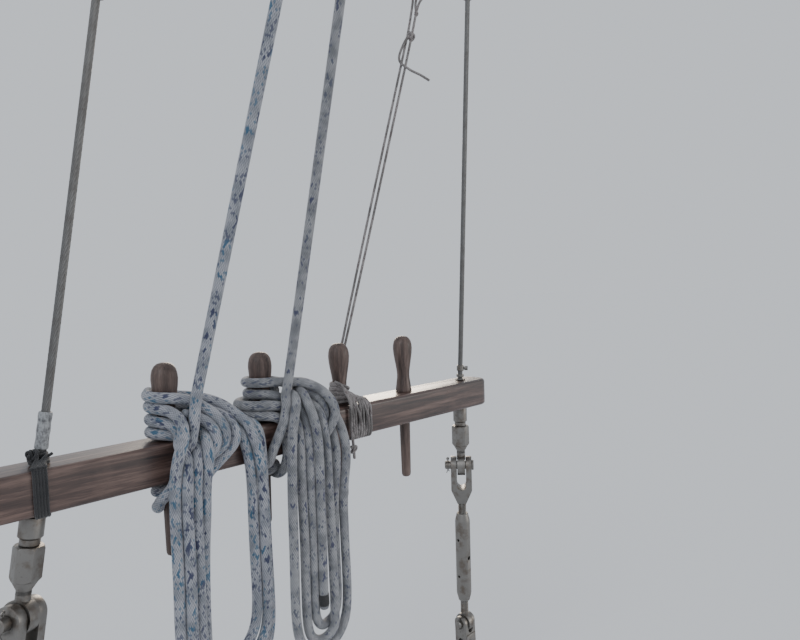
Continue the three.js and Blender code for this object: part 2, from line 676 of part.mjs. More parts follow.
// Runs of the thin line in the rail's frame, from the pin's neck over the rail's front edge, and
// the end that hangs below the rail.
const LINE_RUNS = [
  [[291, -8, 38], [297, -19, 34], [302, -28, 20], [306, -34.2, 3], [307.5, -34.2, -22], [308, -34.2, -50],
    [310, -34, -62], [312, -33, -76]],
  [[300, -12, 36], [310, -24, 22], [318, -33, 5], [321, -34.4, -14]],
  [[309, -8, 34], [320, -20, 18], [330, -31, 5], [333, -34.4, -14]],
  [[311, 2, 30], [328, -10, 14], [339, -25, 4], [343, -33.5, -3], [343, -34.4, -16]],
];

function lineWrapsGeometry() {
  const thickness = 2 * LINE_RADIUS;
  const { outer, hollow } = railBand(LINE.pinX + 16, 31, thickness);
  const foot = stackedTurns([[19.5, 7.5]], 8);
  const neck = stackedTurns([[17, 31]], 8);
  const onPin = [foot, neck].map((turns) => turns.translate(LINE.pinX, 0, 0));
  const runs = LINE_RUNS.map((points) => tube(points, LINE_RADIUS, { step: 6 }));
  const link = tube([[301, 14, 34], [314, 8, 20], [318, 14, 9], [308, 19, 6]], LINE_RADIUS, { step: 6 });
  const pin = pinGeometry(GAP).translate(LINE.pinX, 0, 0);
  return shaped(outer, { add: [...onPin, ...runs, link], cut: [hollow, railBody(GAP), pin] });
}
place("thin_line_wraps", lineWrapsGeometry(), "thin_line");

function lineStandingPart() {
  const legLength = LINE.top - LINE.foot[2];
  const leg = [[LINE.spread, 0], [LINE.spread, legLength / 2], [LINE.spread, legLength - 60], [14, legLength - 18]];
  const up = leg.map(([x, z]) => [-x, 0, z]);
  const down = leg.map(([x, z]) => [x, 0, z]).reverse();
  const hairpin = tube([...up, [0, 0, legLength], ...down], LINE_RADIUS, { step: 24 });
  const knot = (height) => new THREE.SphereGeometry(1, 10, 7).scale(7.5, 5, 9).translate(0, 0, height);
  const tail = tube([[0, 0, 590], [10, -5, 583], [24, -18, 578], [38, -30, 581]], LINE_RADIUS, { step: 6 });
  return shaped(hairpin, { add: [knot(590), knot(645), tail] });
}
place("thin_line_standing_part", lineStandingPart(), "thin_line", lineFrame);

const mount = new THREE.Vector3(0, -CHAINPLATE_THICKNESS / 2, -TOGGLE_PIN_SPACING - CHAINPLATE_LENGTH / 2);
mount.applyMatrix4(leftHull.matrix);
railFrame.position.copy(mount).negate();

const part = new THREE.Group();
part.add(railFrame);
export default part;
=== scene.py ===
"""Looks of a sailing yacht's pin rail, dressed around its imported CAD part.

Sizes are in millimetres, in the rail's own frame: X runs along the rail, +Y points outboard and +Z
up, with the first belaying pin's axis at x = y = 0 and the rail's top at z = 0. Each mesh is moved
into the part's frame, in metres, as it is made.
"""

import logging
import math
from collections.abc import Sequence
from dataclasses import dataclass, field
from enum import Enum

import bpy
import numpy as np
from mathutils import Matrix, Vector


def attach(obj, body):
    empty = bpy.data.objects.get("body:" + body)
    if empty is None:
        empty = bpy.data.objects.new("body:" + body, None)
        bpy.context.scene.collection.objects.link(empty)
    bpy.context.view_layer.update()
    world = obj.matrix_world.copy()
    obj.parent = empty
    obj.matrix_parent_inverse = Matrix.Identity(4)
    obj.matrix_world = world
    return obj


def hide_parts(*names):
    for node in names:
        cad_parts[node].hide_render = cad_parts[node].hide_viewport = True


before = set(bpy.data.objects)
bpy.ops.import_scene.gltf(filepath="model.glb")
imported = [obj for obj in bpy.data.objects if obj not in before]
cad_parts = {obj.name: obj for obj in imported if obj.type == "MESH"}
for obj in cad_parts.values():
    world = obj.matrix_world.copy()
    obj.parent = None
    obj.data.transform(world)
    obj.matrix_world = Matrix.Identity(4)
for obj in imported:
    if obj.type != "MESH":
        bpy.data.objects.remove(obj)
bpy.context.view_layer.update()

log = logging.getLogger("pin_rail")

Flat = tuple[float, float]
Point = tuple[float, float, float]
Colour = tuple[float, float, float]
Profile = Sequence[Flat]

# The rail frame's origin in the part's frame, in metres
RAIL_ORIGIN = Vector((0.252423, -0.020870, 0.646870))
MILLIMETRE = 0.001
QUARTER_TURN = Matrix.Rotation(math.pi / 2, 4, "Z")

# Sizes that the CAD part's solids have too
RAIL_LEFT = -226.0
RAIL_RIGHT = 668.0
RAIL_DEPTH = 62.0
RAIL_HEIGHT = 51.0
PIN_PLACES = (0.0, 147.0, 299.0, 450.0)
WIRE_RADIUS = 4.75

# Two faces that meet at more than these angles, in degrees, get a rounded edge, or a crease
EDGE_ANGLE = 34.0
CREASE = 32.0

# Keeps a division by a length from failing at zero
TINY = 1e-9

# The Mix node's places for colours: two inputs and the result
MIX_A, MIX_B, MIX_RESULT = 6, 7, 2


class Slot(Enum):
    """The record's material slots."""

    RAIL_WOOD = "rail_wood"
    PIN_WOOD = "pin_wood"
    STAINLESS = "stainless"
    WIRE = "wire"
    SLEEVE = "sleeve"
    TARRED_CORD = "tarred_cord"
    FLECK_ROPE = "fleck_rope"
    PLAIN_ROPE = "plain_rope"
    THIN_LINE = "thin_line"


class Body(Enum):
    """The CAD bodies that pieces ride on."""

    ROOT = "root"
    LEFT_TURNBUCKLE = "left_turnbuckle"
    RIGHT_TURNBUCKLE = "right_turnbuckle"
    FREE_PIN = "free_belaying_pin"


class Signal:
    """One output of a shader node, whose arithmetic adds Math nodes."""

    def __init__(self, shader: "Shader", socket: bpy.types.NodeSocket) -> None:
        """Wraps a socket of a shader's tree."""
        self.shader = shader
        self.socket = socket

    def math(self, operation: str, *others: "Signal | float") -> "Signal":
        """Adds a Math node that starts from this signal."""
        return self.shader.math(operation, self, *others)

    def __add__(self, other: "Signal | float") -> "Signal":
        """This plus other."""
        return self.math("ADD", other)

    def __radd__(self, other: float) -> "Signal":
        """Other plus this."""
        return self.math("ADD", other)

    def __sub__(self, other: "Signal | float") -> "Signal":
        """This minus other."""
        return self.math("SUBTRACT", other)

    def __rsub__(self, other: float) -> "Signal":
        """Other minus this."""
        return self.shader.math("SUBTRACT", other, self)

    def __mul__(self, other: "Signal | float") -> "Signal":
        """This times other."""
        return self.math("MULTIPLY", other)

    def __rmul__(self, other: float) -> "Signal":
        """Other times this."""
        return self.math("MULTIPLY", other)

    def __pow__(self, other: "Signal | float") -> "Signal":
        """This to the power of other."""
        return self.math("POWER", other)

    def __rpow__(self, other: float) -> "Signal":
        """Other to the power of this."""
        return self.shader.math("POWER", other, self)

    def floor(self) -> "Signal":
        """The whole number below."""
        return self.math("FLOOR")

    def wave(self) -> "Signal":
        """The height of a row of round ridges, one for each whole number."""
        return (self * math.pi).math("SINE").math("ABSOLUTE")

    def ramp(self, low: float, high: float) -> "Signal":
        """Zero below low, one above high, and smooth between."""
        node_inputs = {"Value": self, "From Min": low, "From Max": high}
        return self.shader.node("ShaderNodeMapRange", {"interpolation_type": "SMOOTHSTEP"}, node_inputs)


class Shader:
    """A material's node tree, which ends in a Principled shader."""

    def __init__(self, name: str, **uniform: float | Sequence[float]) -> None:
        """Starts a material.

        Args:
            name: the material's name.
            uniform: values that are the same all over, by the shader socket's name with _ for spaces.
        """
        self.material = bpy.data.materials.new(name)
        self.material.use_nodes = True
        self.tree = self.material.node_tree
        self.principled = self.tree.nodes["Principled BSDF"]
        for key, value in uniform.items():
            self.principled.inputs[key.replace("_", " ")].default_value = value

    def node(self, kind: str, settings: dict, inputs: dict, output: int | str = 0) -> Signal:
        """Adds a node.

        Args:
            kind: the node's type.
            settings: its options, set first; "stops" are a colour ramp's places and colours.
            inputs: the values or signals of its sockets.
            output: which output is returned.

        Returns:
            The signal of that output.
        """
        made = self.tree.nodes.new(kind)
        for key, value in settings.items():
            if key == "stops":
                self.set_stops(made.color_ramp, value)
            else:
                setattr(made, key, value)
        for key, value in inputs.items():
            if isinstance(value, Signal):
                self.tree.links.new(value.socket, made.inputs[key])
            else:
                made.inputs[key].default_value = value
        return Signal(self, made.outputs[output])

    @staticmethod
    def set_stops(ramp: bpy.types.ColorRamp, stops: Sequence[tuple[float, Colour]]) -> None:
        """Gives a colour ramp its stops.

        Args:
            ramp: the ramp, which has two stops.
            stops: each stop's place and colour, two or more.
        """
        while len(ramp.elements) < len(stops):
            ramp.elements.new(0.5)
        for element, (place, colour) in zip(ramp.elements, stops):
            element.position = place
            element.color = (*colour, 1.0)

    def math(self, operation: str, *values: Signal | float) -> Signal:
        """Adds a Math node on signals and numbers."""
        return self.node("ShaderNodeMath", {"operation": operation}, dict(enumerate(values)))

    def place(self, scale: Sequence[float] = (1.0, 1.0, 1.0)) -> Signal:
        """A point's place in the part's frame in metres, times a scale on each axis."""
        coordinates = self.node("ShaderNodeTexCoord", {}, {}, "Object")
        return self.node("ShaderNodeMapping", {}, {"Vector": coordinates, "Scale": scale})

    def noise(self, vector: Signal, scale: float, detail: float = 3.0, roughness: float = 0.5) -> Signal:
        """A cloudy noise from 0 to 1."""
        node_inputs = {"Vector": vector, "Scale": scale, "Detail": detail, "Roughness": roughness}
        return self.node("ShaderNodeTexNoise", {}, node_inputs)

    def colours(self, value: Signal, stops: Sequence[tuple[float, Colour]]) -> Signal:
        """A colour ramp on a value."""
        return self.node("ShaderNodeValToRGB", {"stops": stops}, {0: value})

    def mix(self, factor: Signal | float, a: Signal | Colour, b: Signal | Colour) -> Signal:
        """Mixes two colours by a factor."""
        a, b = ((*c, 1.0) if isinstance(c, tuple) else c for c in (a, b))
        return self.node("ShaderNodeMix", {"data_type": "RGBA"}, {0: factor, MIX_A: a, MIX_B: b}, MIX_RESULT)

    def feed(self, **signals: Signal) -> None:
        """Links signals to the shader's sockets, by name with _ for spaces."""
        for key, signal in signals.items():
            self.tree.links.new(signal.socket, self.principled.inputs[key.replace("_", " ")])

    def bump(self, height: Signal, depth: float, strength: float = 1.0) -> None:
        """Roughens the surface by a height from 0 to 1, which stands for a depth in millimetres."""
        node_inputs = {"Height": height, "Distance": depth * MILLIMETRE, "Strength": strength}
        self.feed(Normal=self.node("ShaderNodeBump", {}, node_inputs))


@dataclass(frozen=True)
class WoodFinish:
    """Dark hardwood with straight grain along one axis."""

    slot: Slot
    grain: Point
    dark: Colour
    middle: Colour
    light: Colour
    varnish: float
    roughness: float

    def material(self) -> bpy.types.Material:
        """Makes the wood.

        Returns:
            The material.
        """
        shader = Shader(self.slot.value, Coat_Weight=self.varnish, Coat_Roughness=0.22, IOR=1.5)
        bands = shader.noise(shader.place(self.grain), scale=130.0, detail=5.0, roughness=0.62)
        pores = shader.noise(shader.place(self.grain), scale=700.0, roughness=0.7)
        weather = shader.noise(shader.place(), scale=22.0, detail=4.0)
        stops = ((0.36, self.dark), (0.51, self.middle), (0.66, self.light))
        base = shader.colours(bands * 0.75 + pores * 0.25, stops)
        worn = shader.mix(weather.ramp(0.52, 0.78) * 0.35, base, self.light)
        open_pores = pores.ramp(0.62, 0.74)
        colour = shader.mix(open_pores * 0.55, worn, self.dark)
        shader.feed(Base_Color=colour, Roughness=self.roughness + weather * 0.2 + open_pores * 0.1)
        shader.bump(bands * 0.5 + (1 - open_pores) * 0.5, 0.35, 0.8)
        return shader.material


@dataclass(frozen=True)
class MetalFinish:
    """Dull stainless steel with fine scratches and patches of stain."""

    slot: Slot
    colour: Colour
    stain: Colour
    stained: float
    roughness: float

    def material(self) -> bpy.types.Material:
        """Makes the metal.

        Returns:
            The material.
        """
        shader = Shader(self.slot.value, Metallic=1.0)
        patches = shader.noise(shader.place(), scale=55.0, detail=4.0, roughness=0.6)
        scratches = shader.noise(shader.place((1.0, 1.0, 0.12)), scale=900.0, detail=2.0)
        salt = shader.noise(shader.place(), scale=320.0, roughness=0.65).ramp(0.6, 0.74)
        stains = patches.ramp(0.45, 0.68) * self.stained + salt * 0.3
        roughness = self.roughness + patches * 0.14 + scratches * 0.1 + salt * 0.15
        shader.feed(Base_Color=shader.mix(stains, self.colour, self.stain), Roughness=roughness)
        shader.bump(scratches, 0.05, 0.5)
        return shader.material


@dataclass(frozen=True)
class BraidFinish:
    """Braided rope, which reads its pattern from the tube's own length and turn.

    The first coordinate runs once round the rope, and the second one grows by one for each
    circumference of its length. Each pick of the braid takes one colour. Patches of picks and
    single dashes are blue or brown, and longer than they are wide by the stretch.
    """

    slot: Slot
    colour: Colour
    # The darker colour of worn, dirty patches; a darker copy of it is also the painted shade in the braid's
    # crevices.
    dirt_and_crevice_shade: Colour
    flecks: tuple[Colour, Colour]
    patch_level: float
    dash_share: float
    strands: int
    depth: float
    climb: float = 0.5
    stretch: float = 0.42

    def material(self) -> bpy.types.Material:
        """Makes the rope's cover.

        Returns:
            The material.
        """
        shader = Shader(self.slot.value, Sheen_Weight=0.2, Sheen_Roughness=0.5)
        uv = shader.node("ShaderNodeUVMap", {"uv_map": "turns"}, {})
        around = shader.node("ShaderNodeSeparateXYZ", {}, {0: uv}, "X") * self.strands
        along = shader.node("ShaderNodeSeparateXYZ", {}, {0: uv}, "Y") * (self.strands * self.climb)
        right, left = around + along, around - along
        plait = (right.wave() * left.wave()) ** 0.5
        ragged = (shader.noise(shader.place(), scale=900.0, detail=1.0) - 0.5) * 1.1
        pick_right, pick_left = (right + ragged).floor(), (left + ragged).floor()
        angle = (pick_right + pick_left + 1) * (math.pi / self.strands)
        length = (pick_right - pick_left) * (math.pi / (self.strands * self.climb)) * self.stretch
        pick = {0: angle.math("COSINE"), 1: angle.math("SINE"), 2: length}
        place = shader.node("ShaderNodeCombineXYZ", {}, pick)
        patch = shader.noise(place, scale=1.15, detail=1.0).ramp(self.patch_level, self.patch_level + 0.02)
        chance = shader.node("ShaderNodeTexWhiteNoise", {"noise_dimensions": "3D"}, {"Vector": place})
        dash = chance.math("GREATER_THAN", 1 - self.dash_share)
        tone = shader.noise(place, scale=0.33, detail=0.0).ramp(0.46, 0.54)
        wear = shader.noise(shader.place(), scale=46.0, detail=4.0, roughness=0.6)
        fibre = shader.noise(shader.place(), scale=1400.0, detail=2.0)
        base = shader.mix(wear.ramp(0.38, 0.66), self.colour, self.dirt_and_crevice_shade)
        # Painted shade: the crevices between the braid's picks are mixed towards a darker copy of that
        # colour.
        base = shader.mix((1 - plait).ramp(0.2, 0.9) * 0.7, base, tuple(0.35 * c for c in self.dirt_and_crevice_shade))
        fleck = shader.mix(tone, self.flecks[0], self.flecks[1])
        marked = patch.math("MAXIMUM", dash * 0.75) * (0.72 + fibre * 0.4)
        shader.feed(Base_Color=shader.mix(marked, base, fleck), Roughness=0.78 + fibre * 0.18)
        shader.bump(plait * 0.85 + fibre * 0.15, self.depth)
        return shader.material


@dataclass(frozen=True)
class SleeveFinish:
    """Weathered pale plastic with chalky patches."""

    slot: Slot
    colour: Colour
    dirt: Colour

    def material(self) -> bpy.types.Material:
        """Makes the plastic.

        Returns:
            The material.
        """
        shader = Shader(self.slot.value, Specular_IOR_Level=0.35)
        patches = shader.noise(shader.place(), scale=170.0, detail=5.0, roughness=0.65)
        streaks = shader.noise(shader.place((1.0, 1.0, 0.35)), scale=420.0)
        colour = shader.mix((patches * 0.6 + streaks * 0.4).ramp(0.42, 0.64), self.colour, self.dirt)
        shader.feed(Base_Color=colour, Roughness=0.5 + patches * 0.25)
        shader.bump(patches * 0.4 + streaks * 0.6, 0.12)
        return shader.material


@dataclass(frozen=True)
class StudioFinish:
    """The plain pale floor."""

    colour: Colour

    def material(self) -> bpy.types.Material:
        """Makes the floor's paint."""
        colour = (*self.colour, 1.0)
        return Shader("studio_floor", Base_Color=colour, Roughness=1.0, Specular_IOR_Level=0.0).material


FINISHES = (
    WoodFinish(
        slot=Slot.RAIL_WOOD,
        grain=(0.05, 1.0, 1.0),
        dark=(0.012, 0.007, 0.006),
        middle=(0.056, 0.031, 0.025),
        light=(0.150, 0.094, 0.076),
        varnish=0.35,
        roughness=0.38,
    ),
    WoodFinish(
        slot=Slot.PIN_WOOD,
        grain=(1.0, 1.0, 0.07),
        dark=(0.024, 0.015, 0.012),
        middle=(0.078, 0.050, 0.041),
        light=(0.150, 0.105, 0.088),
        varnish=0.1,
        roughness=0.5,
    ),
    MetalFinish(
        slot=Slot.STAINLESS,
        colour=(0.225, 0.216, 0.203),
        stain=(0.115, 0.088, 0.066),
        stained=0.65,
        roughness=0.34,
    ),
    MetalFinish(
        slot=Slot.WIRE,
        colour=(0.165, 0.163, 0.160),
        stain=(0.095, 0.084, 0.076),
        stained=0.3,
        roughness=0.42,
    ),
    SleeveFinish(slot=Slot.SLEEVE, colour=(0.29, 0.30, 0.31), dirt=(0.10, 0.10, 0.105)),
    BraidFinish(
        slot=Slot.TARRED_CORD,
        colour=(0.014, 0.015, 0.018),
        dirt_and_crevice_shade=(0.028, 0.028, 0.030),
        flecks=((0.010, 0.010, 0.010), (0.010, 0.010, 0.010)),
        patch_level=0.98,
        dash_share=0.0,
        strands=7,
        depth=0.5,
    ),
    BraidFinish(
        slot=Slot.FLECK_ROPE,
        colour=(0.36, 0.37, 0.41),
        dirt_and_crevice_shade=(0.20, 0.215, 0.245),
        flecks=((0.020, 0.026, 0.075), (0.018, 0.090, 0.165)),
        patch_level=0.63,
        dash_share=0.15,
        strands=16,
        depth=0.7,
    ),
    BraidFinish(
        slot=Slot.PLAIN_ROPE,
        colour=(0.32, 0.325, 0.34),
        dirt_and_crevice_shade=(0.17, 0.175, 0.19),
        flecks=((0.040, 0.045, 0.095), (0.07, 0.08, 0.115)),
        patch_level=0.65,
        dash_share=0.07,
        strands=16,
        depth=0.6,
    ),
    BraidFinish(
        slot=Slot.THIN_LINE,
        colour=(0.31, 0.285, 0.28),
        dirt_and_crevice_shade=(0.14, 0.13, 0.125),
        flecks=((0.13, 0.10, 0.10), (0.09, 0.08, 0.08)),
        patch_level=0.6,
        dash_share=0.05,
        strands=7,
        depth=0.5,
    ),
)


def linked(name: str, data: bpy.types.ID) -> bpy.types.Object:
    """Puts a mesh, a lamp or a camera into the scene.

    Args:
        name: the new object's name.
        data: what it shows.

    Returns:
        The object.
    """
    made = bpy.data.objects.new(name, data)
    bpy.context.scene.collection.objects.link(made)
    return made


@dataclass
class Solid:
    """A closed mesh in millimetres: corners, faces and, for a tube, its own coordinates."""

    points: np.ndarray
    faces: list[tuple[int, ...]]
    turns: np.ndarray | None = None
    sharp: float = CREASE

    def moved(self, matrix: Matrix) -> "Solid":
        """This solid moved by a matrix."""
        points = self.points @ np.array(matrix.to_3x3()).T + np.array(matrix.translation)
        return Solid(points, self.faces, self.turns, self.sharp)

    def shifted(self, x: float = 0.0, y: float = 0.0, z: float = 0.0) -> "Solid":
        """This solid moved along the axes."""
        return self.moved(Matrix.Translation((x, y, z)))

    def along_x(self) -> "Solid":
        """This solid with its Z axis laid along X."""
        return self.moved(Matrix.Rotation(math.pi / 2, 4, "Y"))

    def along_y(self) -> "Solid":
        """This solid with its Z axis laid along Y."""
        return self.moved(Matrix.Rotation(-math.pi / 2, 4, "X"))

    def along_y_up(self) -> "Solid":
        """This solid with its Z axis laid along -Y and its Y axis stood up along Z."""
        return self.moved(Matrix.Rotation(math.pi / 2, 4, "X"))

    def joined(self, *others: "Solid") -> "Solid":
        """Makes one piece of this solid and others, each still closed in itself.

        Args:
            others: the other solids.

        Returns:
            The piece, with a tube's coordinates if all of them have those.
        """
        solids = (self, *others)
        faces = []
        start = 0
        for solid in solids:
            faces += [tuple(i + start for i in face) for face in solid.faces]
            start += len(solid.points)
        turns = None
        if all(solid.turns is not None for solid in solids):
            turns = np.vstack([solid.turns for solid in solids])
        return Solid(np.vstack([solid.points for solid in solids]), faces, turns, self.sharp)

    def temporary(self) -> bpy.types.Object:
        """This solid as an object that is used for a cut and then removed.

        Returns:
            The object.
        """
        mesh = bpy.data.meshes.new("blank")
        mesh.from_pydata(self.points, [], self.faces)
        return linked("blank", mesh)

    def machined(
        self,
        cut: Sequence["Solid"] = (),
        keep: Sequence["Solid"] = (),
        add: Sequence["Solid"] = (),
        edge: float = 0.0,
    ) -> "Solid":
        """Joins, trims and cuts this solid, then rounds its edges.

        Args:
            cut: the solids to take away.
            keep: the solids to stay inside.
            add: the solids to weld on.
            edge: the width of the rounding on its edges.

        Returns:
            The finished solid.
        """
        base = self.temporary()
        tools = []
        for operation, solids in (("UNION", add), ("INTERSECT", keep), ("DIFFERENCE", cut)):
            for solid in solids:
                tool = solid.temporary()
                tools.append(tool)
                modifier = base.modifiers.new("machined", "BOOLEAN")
                modifier.operation = operation
                modifier.solver = "EXACT"
                modifier.object = tool
        if edge > 0:
            bevel = base.modifiers.new("edges", "BEVEL")
            bevel.width = edge
            bevel.segments = 2
            bevel.limit_method = "ANGLE"
            bevel.angle_limit = math.radians(EDGE_ANGLE)
            bevel.use_clamp_overlap = True
        bpy.context.view_layer.update()
        made = bpy.data.meshes.new_from_object(base.evaluated_get(bpy.context.evaluated_depsgraph_get()))
        points = np.array([vertex.co for vertex in made.vertices])
        faces = [tuple(polygon.vertices) for polygon in made.polygons]
        for blank in (base, *tools):
            mesh = blank.data
            bpy.data.objects.remove(blank)
            bpy.data.meshes.remove(mesh)
        bpy.data.meshes.remove(made)
        return Solid(points, faces)


def mirrored(points: Sequence[Sequence[float]]) -> list[tuple[float, ...]]:
    """Points mirrored across X = 0, in the opposite order."""
    return [(-x, *rest) for x, *rest in reversed(points)]


def lathe(profile: Profile, sides: int = 40, sharp: float = CREASE) -> Solid:
    """Turns a profile about Z.

    Args:
        profile: radius and height of each corner, from the bottom up on the outside; a bored shape
            ends on its first corner.
        sides: the number of sides.
        sharp: the crease angle in degrees.

    Returns:
        The turned solid.
    """
    bored = profile[0] == profile[-1]
    rows = profile[:-1] if bored else profile
    angles = np.linspace(0, 2 * math.pi, sides, endpoint=False)
    points = []
    rings = []
    for radius, height in rows:
        if radius == 0:
            rings.append([len(points)] * sides)
            points.append((0.0, 0.0, height))
        else:
            rings.append(list(range(len(points), len(points) + sides)))
            points += [(radius * math.cos(a), radius * math.sin(a), height) for a in angles]
    faces = []
    for low, high in zip(rings, rings[1:] + ([rings[0]] if bored else [])):
        for i in range(sides):
            j = (i + 1) % sides
            corners = (low[i], low[j], high[j], high[i])
            faces.append(tuple(dict.fromkeys(corners)))
    return Solid(np.array(points), faces, None, sharp)


def stacked(rings: Sequence[np.ndarray], sharp: float = CREASE) -> Solid:
    """Joins rings of points and closes both ends.

    Args:
        rings: the rings from the bottom up, anticlockwise and with as many points each.
        sharp: the crease angle in degrees.

    Returns:
        The closed solid.
    """
    count = len(rings[0])
    last = (len(rings) - 1) * count
    faces = [tuple(reversed(range(count)))]
    for start in range(0, last, count):
        for j in range(count):
            k = (j + 1) % count
            faces.append((start + j, start + k, start + count + k, start + count + j))
    faces.append(tuple(range(last, last + count)))
    return Solid(np.vstack(rings), faces, None, sharp)


def prism(outline: Sequence[Flat], low: float, high: float) -> Solid:
    """Makes a flat outline thick.

    Args:
        outline: its corners in the XY plane, anticlockwise.
        low: the height of its lower face.
        high: the height of its upper face.

    Returns:
        The solid.
    """
    count = len(outline)
    points = [(x, y, z) for z in (low, high) for x, y in outline]
    faces = [tuple(reversed(range(count))), tuple(range(count, 2 * count))]
    faces += [(i, (i + 1) % count, (i + 1) % count + count, i + count) for i in range(count)]
    return Solid(np.array(points, float), faces)


def bar(radius: float, low: float, high: float, sides: int = 40, edge: float = 0.0) -> Solid:
    """Makes a round bar about Z.

    Args:
        radius: its radius.
        low: the height of its lower end.
        high: the height of its upper end.
        sides: its number of sides.
        edge: how much is broken off its ends' edges.

    Returns:
        The bar.
    """
    outside = [(radius, low + edge), (radius, high - edge)]
    if edge:
        outside = [(radius - edge, low), *outside, (radius - edge, high)]
    return lathe([(0.0, low), *outside, (0.0, high)], sides)


def arc(centre: Flat, radius: float, start: float, end: float, count: int) -> list[Flat]:
    """Points on an arc from one angle to another, in degrees."""
    angles = np.radians(np.linspace(start, end, count))
    return [(centre[0] + radius * math.cos(a), centre[1] + radius * math.sin(a)) for a in angles]


def rounded_rectangle(width: float, height: float, radius: float, steps: int = 6) -> list[Flat]:
    """Draws a rectangle with round corners.

    Args:
        width: its size along X.
        height: its size along Y.
        radius: the corners' radius.
        steps: the number of points at each corner.

    Returns:
        The outline's points, anticlockwise.
    """
    x, y = width / 2 - radius, height / 2 - radius
    corners = (((x, -y), -90), ((x, y), 0), ((-x, y), 90), ((-x, -y), 180))
    return [point for centre, start in corners for point in arc(centre, radius, start, start + 90, steps)]


def smooth(route: Sequence[Point], step: float) -> np.ndarray:
    """Draws a smooth curve through a route's points.

    Args:
        route: the points.
        step: the distance between the curve's own points.

    Returns:
        The curve's points, evenly spaced.
    """
    per_span, shortest = 24, 1e-6
    p = np.array(route, float)
    p = np.vstack([2 * p[0] - p[1], p, 2 * p[-1] - p[-2]])
    pieces = []
    for a, b, c, d in zip(p, p[1:], p[2:], p[3:]):
        t1 = max(np.linalg.norm(b - a), shortest) ** 0.5
        t2 = t1 + max(np.linalg.norm(c - b), shortest) ** 0.5
        t3 = t2 + max(np.linalg.norm(d - c), shortest) ** 0.5
        t = np.linspace(t1, t2, per_span, endpoint=False)[:, None]
        a1 = (t1 - t) / t1 * a + t / t1 * b
        a2 = (t2 - t) / (t2 - t1) * b + (t - t1) / (t2 - t1) * c
        a3 = (t3 - t) / (t3 - t2) * c + (t - t2) / (t3 - t2) * d
        b1 = (t2 - t) / t2 * a1 + t / t2 * a2
        b2 = (t3 - t) / (t3 - t1) * a2 + (t - t1) / (t3 - t1) * a3
        pieces.append((t2 - t) / (t2 - t1) * b1 + (t - t1) / (t2 - t1) * b2)
    return spaced(np.vstack([*pieces, p[-2:-1]]), step)


def distances(line: np.ndarray) -> np.ndarray:
    """How far along a line each of its points is."""
    return np.concatenate([[0], np.cumsum(np.linalg.norm(np.diff(line, axis=0), axis=1))])


def spaced(line: np.ndarray, step: float) -> np.ndarray:
    """Spaces a line's points evenly.

    Args:
        line: the points.
        step: the distance between two of them, roughly.

    Returns:
        The new points.
    """
    run = distances(line)
    places = np.linspace(0, run[-1], max(4, round(run[-1] / step) + 1))
    return np.stack([np.interp(places, run, line[:, k]) for k in range(3)], axis=1)


def tube(line: np.ndarray, radius: float, sides: int = 18) -> Solid:
    """Sweeps a round section along a line.

    Args:
        line: evenly spaced points.
        radius: the section's radius.
        sides: its number of sides.

    Returns:
        The closed tube, half rounded at its ends, with its turns' coordinates.
    """
    rounding = 0.5
    tangents = np.gradient(line, axis=0)
    tangents /= np.linalg.norm(tangents, axis=1)[:, None]
    side = np.cross(tangents[0], (0.31, 0.77, 0.56))
    across = []
    for tangent in tangents:
        side = side - tangent * (side @ tangent)
        side /= np.linalg.norm(side)
        across.append(side)
    up = np.cross(tangents, across)
    run = distances(line)
    rows = [(line[i], across[i], up[i], 1.0, run[i]) for i in range(len(line))]
    for end, sign in ((0, -1), (-1, 1)):
        for angle in (math.radians(40), math.radians(70)):
            reach = math.sin(angle) * radius * rounding
            size = 1 - rounding * (1 - math.cos(angle))
            centre = line[end] + sign * tangents[end] * reach
            row = (centre, across[end], up[end], size, run[end] + sign * reach)
            rows.insert(0 if sign < 0 else len(rows), row)
    angles = np.linspace(0, 2 * math.pi, sides, endpoint=False)
    circle = np.stack([np.cos(angles), np.sin(angles)], axis=1)
    points = [
        centre + radius * size * (circle[:, :1] * sideways + circle[:, 1:] * upward)
        for centre, sideways, upward, size, _ in rows
    ]
    along = [place / (2 * math.pi * radius) for *_, place in rows]
    faces = []
    turns = []
    for i in range(len(rows) - 1):
        for j in range(sides):
            k = (j + 1) % sides
            faces.append((i * sides + j, i * sides + k, (i + 1) * sides + k, (i + 1) * sides + j))
            u0, u1 = j / sides, (j + 1) / sides
            turns += [(u0, along[i]), (u1, along[i]), (u1, along[i + 1]), (u0, along[i + 1])]
    last = (len(rows) - 1) * sides
    for start, order, place in ((0, -1, along[0]), (last, 1, along[-1])):
        faces.append(tuple(range(start, start + sides))[::order])
        turns += [(0.1 * math.cos(a), place + 0.1 * math.sin(a)) for a in angles[::order]]
    return Solid(np.vstack(points), faces, np.array(turns), sharp=60.0)


@dataclass
class Axis:
    """A straight line up the rig, leaning towards +X and inboard by two angles, then turned."""

    foot: Point
    lean: Flat
    turn: float = 0.0

    def matrix(self) -> Matrix:
        """The frame whose Z runs up this line.

        Returns:
            Its matrix, in the rail's frame.
        """
        about_y = math.radians(self.lean[0])
        about_x = math.atan(math.tan(math.radians(self.lean[1])) * math.cos(about_y))
        spin = Matrix.Rotation(about_y, 4, "Y") @ Matrix.Rotation(about_x, 4, "X")
        return Matrix.Translation(self.foot) @ spin @ Matrix.Rotation(math.radians(self.turn), 4, "Z")

    def at(self, height: float) -> Point:
        """The point of this line at a distance along it."""
        return tuple(self.matrix() @ Vector((0.0, 0.0, height)))


LEFT_WIRE = Axis((-153.9, 0.0, 0.0), (8.66, 3.0))
RIGHT_WIRE = Axis((612.4, 0.0, 0.0), (1.85, 2.0))
LEFT_FITTINGS = Axis(LEFT_WIRE.foot, LEFT_WIRE.lean, 30.0)
RIGHT_FITTINGS = Axis((609.8, 0.0, 0.0), (-2.08, 2.0), -51.7)


